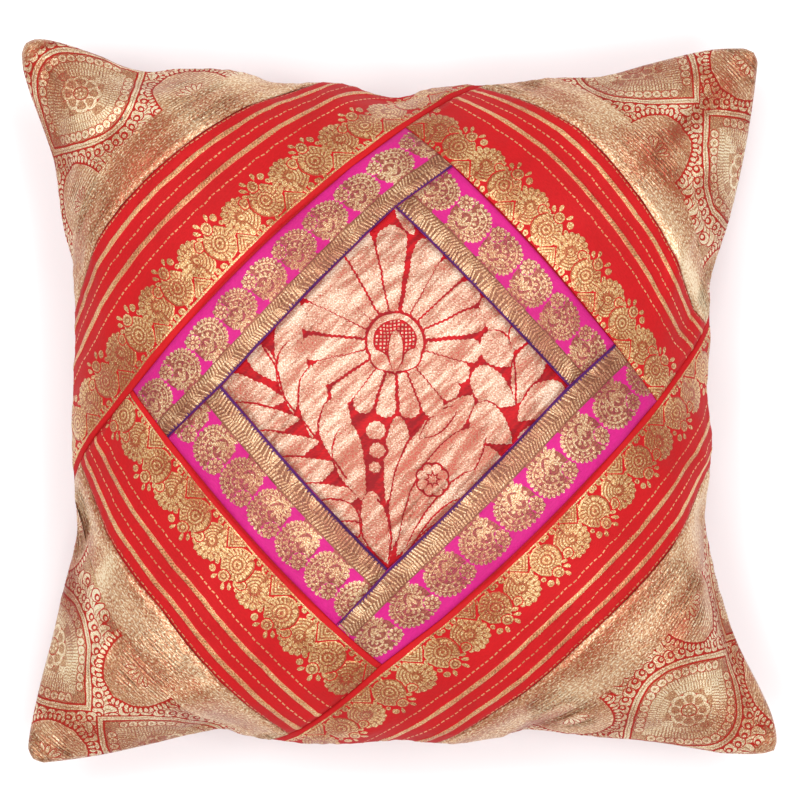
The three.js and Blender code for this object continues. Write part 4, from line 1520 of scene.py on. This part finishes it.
@dataclass
class TrellisCorner(Patch):
    """Corner triangle: gilt tissue beside the seam, then a trellis of lens panels."""

    tip: Flat = Flat(-200, 200)
    lens_at: tuple[float, float] = (1.5, 49)
    lens_pitch: float = 96.0
    row_pitch: float = 43.0
    half_wide: float = 40.0
    half_high: float = 28.0
    tissue_from: float = 89.0
    tissue_lean: float = 0.0
    plain_tip: float = 13.0
    medal_high: float = 26.0
    medal_round: float = 4.2
    rosette_radius: float = 11.6
    vine_edge: float = 17.6
    leaf_row: float = 15.0
    leaf_pitch: float = 5.7
    leaf_width: float = 4.8
    leaf_edge: float = 6.2
    leaf_bend: float = -2.8
    curl_row: float = 8.6
    curl_pitch: float = 6.2
    curl_radius: float = 3.4
    stripe_pitch: float = 1.7
    hatch_pitch: float = 1.75
    bead_pitch: float = 5.0
    bead_share: float = 0.78

    def finishes(self) -> dict[Ink, WovenFinish]:
        """Gilt tissue with red lines."""
        return {Ink.GROUND: TISSUE, Ink.BASE: TISSUE_FIGURE, Ink.LIGHT: TISSUE_LIGHT,
                Ink.LINE: TISSUE_LINE, Ink.EDGING: TISSUE}

    def put(self, outline: Points, ink: Ink) -> None:
        """Lays a shape given across the corner (p) and from its tip inward (q)."""
        sign = np.sign(np.array(self.tip))
        inward = -sign / math.sqrt(2)
        right = np.array([-inward[1], inward[0]])
        self.lay(np.array(self.tip) + outline[:, :1] * right + outline[:, 1:] * inward, ink)

    def lens(self, centre: tuple[float, float], grow: float, steps: int = 14) -> Points:
        """The outline of a lens panel, grown or shrunk by some mm."""
        p = np.linspace(-1, 1, steps + 1)
        lower = np.stack([p * self.half_wide, self.half_high * np.cos(np.pi / 2 * p)], 1)
        out = np.vstack([lower, (lower * (1, -1))[1:-1][::-1]])
        size = np.array([self.half_wide, self.half_high])
        return out * (1 + grow / size * (1.25, 1.0)) + np.array(centre)

    def medallion(self, centre: tuple[float, float], grow: float) -> Points:
        """The outline of a small medallion between lens panels: two parabolas end to end."""
        q = np.linspace(-1, 1, 17)
        reach = self.medal_high + grow
        half = (self.medal_round * np.sqrt(self.medal_high) + grow) * np.sqrt(1 - q * q) ** 0.95
        right = np.stack([half, q * reach], 1)
        return np.vstack([right, (right * (-1, 1))[1:-1][::-1]]) + np.array(centre)

    def centres(self, rows: tuple[int, ...]) -> list[tuple[float, float]]:
        """The middles of all panels of some rows that the corner can show."""
        p0, q0 = self.lens_at
        return [(p0 + self.lens_pitch * (i + 0.5 * (j % 2)), q0 + self.row_pitch * j)
                for j in rows for i in (-2, -1, 0, 1)]

    def draw(self) -> None:
        """Lays the trellis, then the plain tissue over it."""
        self.put(np.array([(-150, self.plain_tip), (-150, 150), (150, 150),
                           (150, self.plain_tip)]), Ink.BASE)
        for centre in self.centres((0,)):
            self.vine(centre)
        for centre in self.centres((-1, 1)):
            self.medal(centre)
        for centre in self.centres((0,)):
            self.stem(centre)
            self.panel(centre)
        left = self.tissue_from - 150 * self.tissue_lean
        right = self.tissue_from + 150 * self.tissue_lean
        self.put(np.array([(-150, left), (150, right), (150, 240), (-150, 240)]), Ink.EDGING)
        self.put(np.array([(-60, -20), (60, -20), (60, self.plain_tip), (-60, self.plain_tip)]),
                 Ink.EDGING)

    def along(self, outline: Points, centre: tuple[float, float], spacing: float
              ) -> list[tuple[Points, Points]]:
        """Places along an outline and the unit step outward at each.

        Args:
            outline: a closed outline.
            centre: a place within it.
            spacing: mm between places.
        Returns:
            Places and steps.
        """
        closed = np.vstack([outline, outline[:1]])
        run = np.concatenate([[0], np.cumsum(np.hypot(*np.diff(closed, axis=0).T))])
        at = np.arange(0.5, run[-1] // spacing) * run[-1] / (run[-1] // spacing)
        places = np.stack([np.interp(at, run, closed[:, i]) for i in range(2)], 1)
        ahead = np.stack([np.interp(at + 0.5, run, closed[:, i]) for i in range(2)], 1)
        way = (ahead - places) / np.maximum(np.hypot(*(ahead - places).T), 1e-6)[:, None]
        out = np.stack([way[:, 1], -way[:, 0]], 1)
        out *= np.sign(np.sum(out * (places - np.array(centre)), 1))[:, None]
        return list(zip(places, out))

    def vine(self, centre: tuple[float, float]) -> None:
        """Curled leaves packed on a red band beside a panel's stem."""
        self.put(toothed(self.lens(centre, self.vine_edge, 40), 2.6, 2.6), Ink.LINE)
        row = self.lens(centre, self.leaf_row, 24)
        for k, (place, out) in enumerate(self.along(row, centre, self.leaf_pitch)):
            way = np.array([-out[1], out[0]])
            base = place - out * 3.8 + way * 2.8
            tip = place + out * 5.2 - way * 3.0
            ahead = (tip - base) / np.hypot(*(tip - base))
            bend = self.leaf_bend
            edge = leaf(base - ahead * 0.7, tip + ahead * 0.7, self.leaf_edge, 0.66, bend, 8)
            self.put(edge, Ink.LINE)
            self.put(leaf(base, tip, self.leaf_width, 0.66, bend, 8), Ink.LIGHT)
            self.put(leaf(base + ahead, tip - ahead * 2.4, 1.0, 0.6, -2.6, 6), Ink.BASE)
            if k % 2:
                self.curl(place + out * 3.2 + way * 2.6, way, 3.2)
        row = self.lens(centre, self.curl_row, 24)
        for place, out in self.along(row, centre, self.curl_pitch):
            self.curl(place, np.array([-out[1], out[0]]) + 0.4 * out, self.curl_radius)

    def curl(self, middle: Points, open_to: Points, radius: float) -> None:
        """A bright crescent with a bud in its opening.

        Args:
            middle: its middle.
            open_to: the direction in which it opens.
            radius: half its width.
        """
        self.put(disc(tuple(middle), radius + 0.6, corners=12), Ink.LINE)
        self.put(disc(tuple(middle), radius, corners=12), Ink.LIGHT)
        self.put(disc(tuple(middle + open_to * 0.42 * radius), radius * 0.62, corners=9), Ink.LINE)
        self.put(disc(tuple(middle + open_to * 0.52 * radius), radius * 0.34, corners=7), Ink.LIGHT)

    def stem(self, centre: tuple[float, float]) -> None:
        """The double stem that runs round a panel."""
        for grow, ink in ((5.4, Ink.LINE), (4.3, Ink.LIGHT), (3.2, Ink.BASE), (2.7, Ink.LIGHT)):
            self.put(self.lens(centre, grow, 20), ink)

    def medal(self, centre: tuple[float, float]) -> None:
        """A small medallion of striped tissue with a petalled edge and a sprig."""
        self.put(toothed(self.medallion(centre, 4.4), 2.2, 1.2), Ink.LINE)
        for place, out in self.along(self.medallion(centre, 2.4), centre, 2.7):
            self.put(leaf(place - out * 1.7, place + out * 1.9, 2.2, 0.6, 0, 4), Ink.LIGHT)
        self.put(self.medallion(centre, 1.0), Ink.LINE)
        self.put(self.medallion(centre, 0.0), Ink.EDGING)
        p, q = centre
        for off in np.arange(2.5 - self.medal_high, self.medal_high - 2.5, self.stripe_pitch):
            fall = math.sqrt(1 - (off / self.medal_high) ** 2) ** 0.95
            half = self.medal_round * math.sqrt(self.medal_high) * fall - 1.4
            self.put(ribbon(np.array([(p - half, q + off), (p + half, q + off)]), 0.55), Ink.BASE)
        for way in (90, -90):
            for k in (-2, -1, 0, 1, 2):
                base = (p + 1.2 * k, q + math.copysign(3, way))
                turn = way - math.copysign(26, way) * k
                self.put(leaf(base, polar(base, 7.4, turn), 3.0, 0.6, 0, 5), Ink.LINE)
                self.put(leaf(base, polar(base, 6.8, turn), 2.1, 0.6, 0, 5), Ink.LIGHT)

    def panel(self, centre: tuple[float, float]) -> None:
        """A lens panel: beads inside its edges, hatching and a rosette in its middle."""
        self.put(self.lens(centre, 1.2, 20), Ink.LINE)
        self.put(self.lens(centre, 0.0, 20), Ink.BASE)
        middle = np.array(centre)
        for depth, long in ((6.2, 4.4), (11.2, 4.6), (16.4, 4.6)):
            row = self.lens(centre, -depth, 24)
            for place, out in self.along(row, centre, self.hatch_pitch):
                inner = place - out * long
                if np.hypot(*(inner - middle)) > self.rosette_radius + 0.6:
                    self.put(ribbon(np.array([inner, place]), 1.0), Ink.LIGHT)
        for place, _ in self.along(self.lens(centre, -3.1, 24), centre, self.bead_pitch):
            if abs(place[0] - centre[0]) < self.half_wide * self.bead_share:
                for radius, ink in ((2.9, Ink.LINE), (2.45, Ink.LIGHT), (0.9, Ink.BASE)):
                    self.put(disc(tuple(place), radius, corners=10), ink)
        self.rosette(centre)

    def rosette(self, centre: tuple[float, float]) -> None:
        """Eight petals with red between their tips."""
        far = self.rosette_radius
        self.put(disc(centre, far, 1.0, 0, 20), Ink.LINE)
        for k in range(8):
            for near, reach, width, ink in ((0.25, 1.04, 0.74, Ink.LIGHT),
                                            (0.40, 0.88, 0.50, Ink.BASE)):
                self.put(leaf(polar(centre, near * far, 45 * k), polar(centre, reach * far, 45 * k),
                              width * far, 0.66, 0, 7), ink)
        for radius, ink in ((0.42, Ink.LINE), (0.37, Ink.BASE)):
            self.put(disc(centre, radius * far, corners=12), ink)
        for k in range(7):
            self.put(disc(tuple(polar(centre, 0.24 * far, 51 * k)), 0.8, corners=6), Ink.LIGHT)
        self.put(disc(centre, 0.9, corners=6), Ink.LIGHT)


@dataclass
class FilledBody:
    """The filled form with the plain back of the cover."""

    cells: int = 120
    crumple: float = 0.35
    seam_calm: float = 8.0
    pucker_reach: float = 25.0
    resting_zone: float = 3.0
    free_zone: float = 12.0
    name: str = "cushion_body_cloth"

    def back_relief(self, s: Points, t: Points) -> Points:
        """Soft creases of the back where it hangs free of the floor."""
        off_rim = FORM.off_rim(s, t)
        puckers = 0.6 * waves(22, 8, 9, 16)(s, t) * np.exp(-off_rim / self.pucker_reach)
        near = np.clip(off_rim / self.seam_calm, 0, 1)
        return self.crumple * (waves(21, 12, 18, 60)(s, t) + puckers) * near

    def build(self) -> bpy.types.Object:
        """Makes the closed form, its front under the patches."""
        n = self.cells
        at = -HALF + COVER_SIDE * np.arange(n + 1) / n
        grid = np.stack(np.meshgrid(at, at), -1).reshape(-1, 2)
        s, t = grid.T
        upper = FORM.front(s, t) - FORM.normal(s, t) * (CLOTH + CLEARANCE)
        lower = FORM.back(s, t)
        free = np.clip((lower[:, 2] - self.resting_zone) / self.free_zone, 0, 1)
        lower[:, 2] -= self.back_relief(s, t) * free
        number = np.arange((n + 1) ** 2).reshape(n + 1, n + 1)
        rim = np.zeros((n + 1, n + 1), bool)
        rim[[0, -1]] = rim[:, [0, -1]] = True
        low = np.where(rim, number, number + (n + 1) ** 2)
        faces = []
        for ids, up in ((number, True), (low, False)):
            a, b, c, d = ids[:-1, :-1], ids[:-1, 1:], ids[1:, 1:], ids[1:, :-1]
            quads = np.stack([a, b, c, d], -1).reshape(-1, 4)
            half = np.vstack([quads[:, [0, 1, 2]], quads[:, [0, 2, 3]]])
            faces.append(half if up else half[:, ::-1])
        faces = np.vstack(faces)
        points = np.vstack([upper, lower])
        used, faces = np.unique(faces, return_inverse=True)
        uv = np.vstack([grid, grid])[used]
        piece = make_mesh(self.name, points[used], faces.reshape(-1, 3),
                          np.zeros(faces.size // 3, int), uv, [finish_material(BACK_CLOTH)])
        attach(piece, "root")
        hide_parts("cushion_body")
        LOG.info("filled body: %d triangles", len(piece.data.polygons))
        return piece


def diagonal_creases(s: Points, t: Points) -> Points:
    """The flower panel's creases, from lower left to upper right, most in its lower half."""
    across = waves(31, 7, 5.0, 8.5, 132, 9)(s, t)
    long = 0.6 + 0.4 * waves(32, 6, 30, 70)(s, t)
    low = 0.25 + 0.75 / (1 + np.exp((t - 22) / 14))
    return 0.30 * across * long * low


@dataclass
class Cover:
    """The whole patchwork front with the body under it."""

    outlines: dict[str, Points]

    def strip_frames(self) -> dict[str, StripFrame]:
        """The frame of each strip."""
        inner = {
            "inner_strip_tl": ((INNER_TL_LEFT, CENTRE_LEFT, CENTRE_TOP, INNER_TL_TOP),
                               (OUTER_TL_LEFT, OUTER_TL_TOP)),
            "inner_strip_tr": ((CENTRE_TOP, CENTRE_RIGHT), (OUTER_TL_TOP, OUTER_BR_RIGHT)),
            "inner_strip_br": ((INNER_BR_RIGHT, CENTRE_RIGHT, CENTRE_BOTTOM, INNER_BR_BOTTOM),
                               (OUTER_BR_RIGHT, OUTER_BR_BOTTOM)),
            "inner_strip_bl": ((CENTRE_BOTTOM, CENTRE_LEFT), (OUTER_BR_BOTTOM, OUTER_TL_LEFT)),
            "outer_strip_tl": ((EDGE_LEFT, OUTER_TL_LEFT, OUTER_TL_TOP, EDGE_TOP), RING_TL),
            "outer_strip_tr": ((OUTER_TL_TOP, OUTER_BR_RIGHT), RING_TR),
            "outer_strip_br": ((EDGE_RIGHT, OUTER_BR_RIGHT, OUTER_BR_BOTTOM, EDGE_BOTTOM), RING_BR),
            "outer_strip_bl": ((OUTER_BR_BOTTOM, OUTER_TL_LEFT), RING_BL),
        }
        starts = {"tl": (CENTRE_LEFT, CENTRE_TOP), "tr": (CENTRE_TOP, CENTRE_RIGHT),
                  "br": (CENTRE_RIGHT, CENTRE_BOTTOM), "bl": (CENTRE_BOTTOM, CENTRE_LEFT)}
        out = {}
        for name, (near, far) in inner.items():
            width = 36.5 if name.startswith("inner") else 61.6
            out[name] = StripFrame(*starts[name[-2:]], near, far, width)
        return out

    def patches(self) -> list[Patch]:
        """All thirteen patches."""
        frames = self.strip_frames()
        out: list[Patch] = []
        for side, first, pitch in (("tl", -10.0, 22.7), ("tr", 8.0, 24.0), ("br", -12.0, 25.3),
                                   ("bl", -1.5, 21.4)):
            name = "inner_strip_" + side
            out.append(PaisleyStrip(name, "magenta_border", self.outlines[name],
                                    frames[name].grain(), frame=frames[name], first=first,
                                    pitch=pitch))
        for side, first, pitch in (("tl", -5.0, 34.5), ("tr", 7.0, 33.5), ("br", 10.0, 37.0),
                                   ("bl", -3.0, 33.3)):
            name = "outer_strip_" + side
            out.append(RibbedStrip(name, "red_border", self.outlines[name],
                                   frames[name].grain(), frame=frames[name], first=first,
                                   pitch=pitch, reach=260.0, lowered=3.4 * (side == "tr")))
        for side, tip, lens_at, start, lean in (
                ("tl", Flat(-HALF, HALF), (1.5, 49), 89.0, 0.0),
                ("tr", Flat(HALF, HALF), (50, 51), 91.0, 0.14),
                ("br", Flat(HALF, -HALF), (14, 59), 100.0, 0.05),
                ("bl", Flat(-HALF, -HALF), (43, 51), 95.0, 0.13)):
            name = "corner_" + side
            grain = math.degrees(math.atan2(tip.t, tip.s)) + 90
            out.append(TrellisCorner(name, "gold_brocade", self.outlines[name], grain, tip=tip,
                                     lens_at=lens_at, tissue_from=start, tissue_lean=lean))
        out.append(FlowerPanel(LAST_PATCH, "flower_brocade", self.outlines[LAST_PATCH],
                               relief=Relief(creases=diagonal_creases)))
        return out


@dataclass
class Studio:
    """Floor, soft light and the camera looking straight down."""

    frame_width: float = 0.412
    distance: float = 9.0
    middle: tuple[float, float] = (-0.0001, 0.0006)
    floor_size: float = 6.0
    sky: float = 0.5
    lamp_power: float = 15.2
    lamp_size: float = 0.9
    lamp_height: float = 1.9
    lamp_aim: float = 0.08
    focus_rise: float = 20.0

    def floor(self) -> None:
        """A large pale floor."""
        half = self.floor_size / 2
        mesh = bpy.data.meshes.new("floor")
        mesh.from_pydata([(-half, -half, 0), (half, -half, 0), (half, half, 0), (-half, half, 0)],
                         [], [(0, 1, 2, 3)])
        piece = bpy.data.objects.new("floor", mesh)
        bpy.context.scene.collection.objects.link(piece)
        made = bpy.data.materials.new("matt white paper")
        made.use_nodes = True
        shader = made.node_tree.nodes["Principled BSDF"]
        shader.inputs["Base Color"].default_value = linear("#F8F8F8")
        shader.inputs["Roughness"].default_value = 0.9
        mesh.materials.append(made)

    def light(self) -> None:
        """Four large soft lamps high up round the cushion and an even pale surround."""
        world = bpy.data.worlds.new("studio")
        world.use_nodes = True
        world.node_tree.nodes["Background"].inputs[0].default_value = (1, 1, 1, 1)
        world.node_tree.nodes["Background"].inputs[1].default_value = self.sky
        bpy.context.scene.world = world
        for name, x, y in (("lamp_left", -0.8, 0.5), ("lamp_right", 0.8, -0.4),
                           ("lamp_top", 0.5, 0.8), ("lamp_bottom", -0.5, -0.7)):
            data = bpy.data.lights.new(name, "AREA")
            data.size = self.lamp_size
            data.energy = self.lamp_power
            lamp = bpy.data.objects.new(name, data)
            lamp.location = (x, y, self.lamp_height)
            aim = Vector((0, 0, self.lamp_aim)) - lamp.location
            lamp.rotation_euler = aim.to_track_quat("-Z", "Y").to_euler()
            bpy.context.scene.collection.objects.link(lamp)

    def camera(self) -> None:
        """A long lens straight above the cushion."""
        data = bpy.data.cameras.new("camera")
        data.sensor_width = 36.0
        crown = (FORM.seam_height + self.focus_rise) * MM
        data.lens = data.sensor_width * (self.distance - crown) / self.frame_width
        data.clip_end = 60.0
        camera = bpy.data.objects.new("camera", data)
        camera.location = (*self.middle, self.distance)
        bpy.context.scene.collection.objects.link(camera)
        bpy.context.scene.camera = camera
        bpy.context.scene.view_settings.view_transform = "Standard"


def main() -> None:
    """Builds the dressed cushion in its studio."""
    logging.basicConfig(level=logging.INFO, format="%(message)s")
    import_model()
    FilledBody().build()
    total = 0
    for patch in Cover(cut_patches()).patches():
        total += len(patch.build().data.polygons)
    LOG.info("patches: %d triangles", total)
    studio = Studio()
    studio.floor()
    studio.light()
    studio.camera()


if __name__ == "__main__":
    main()
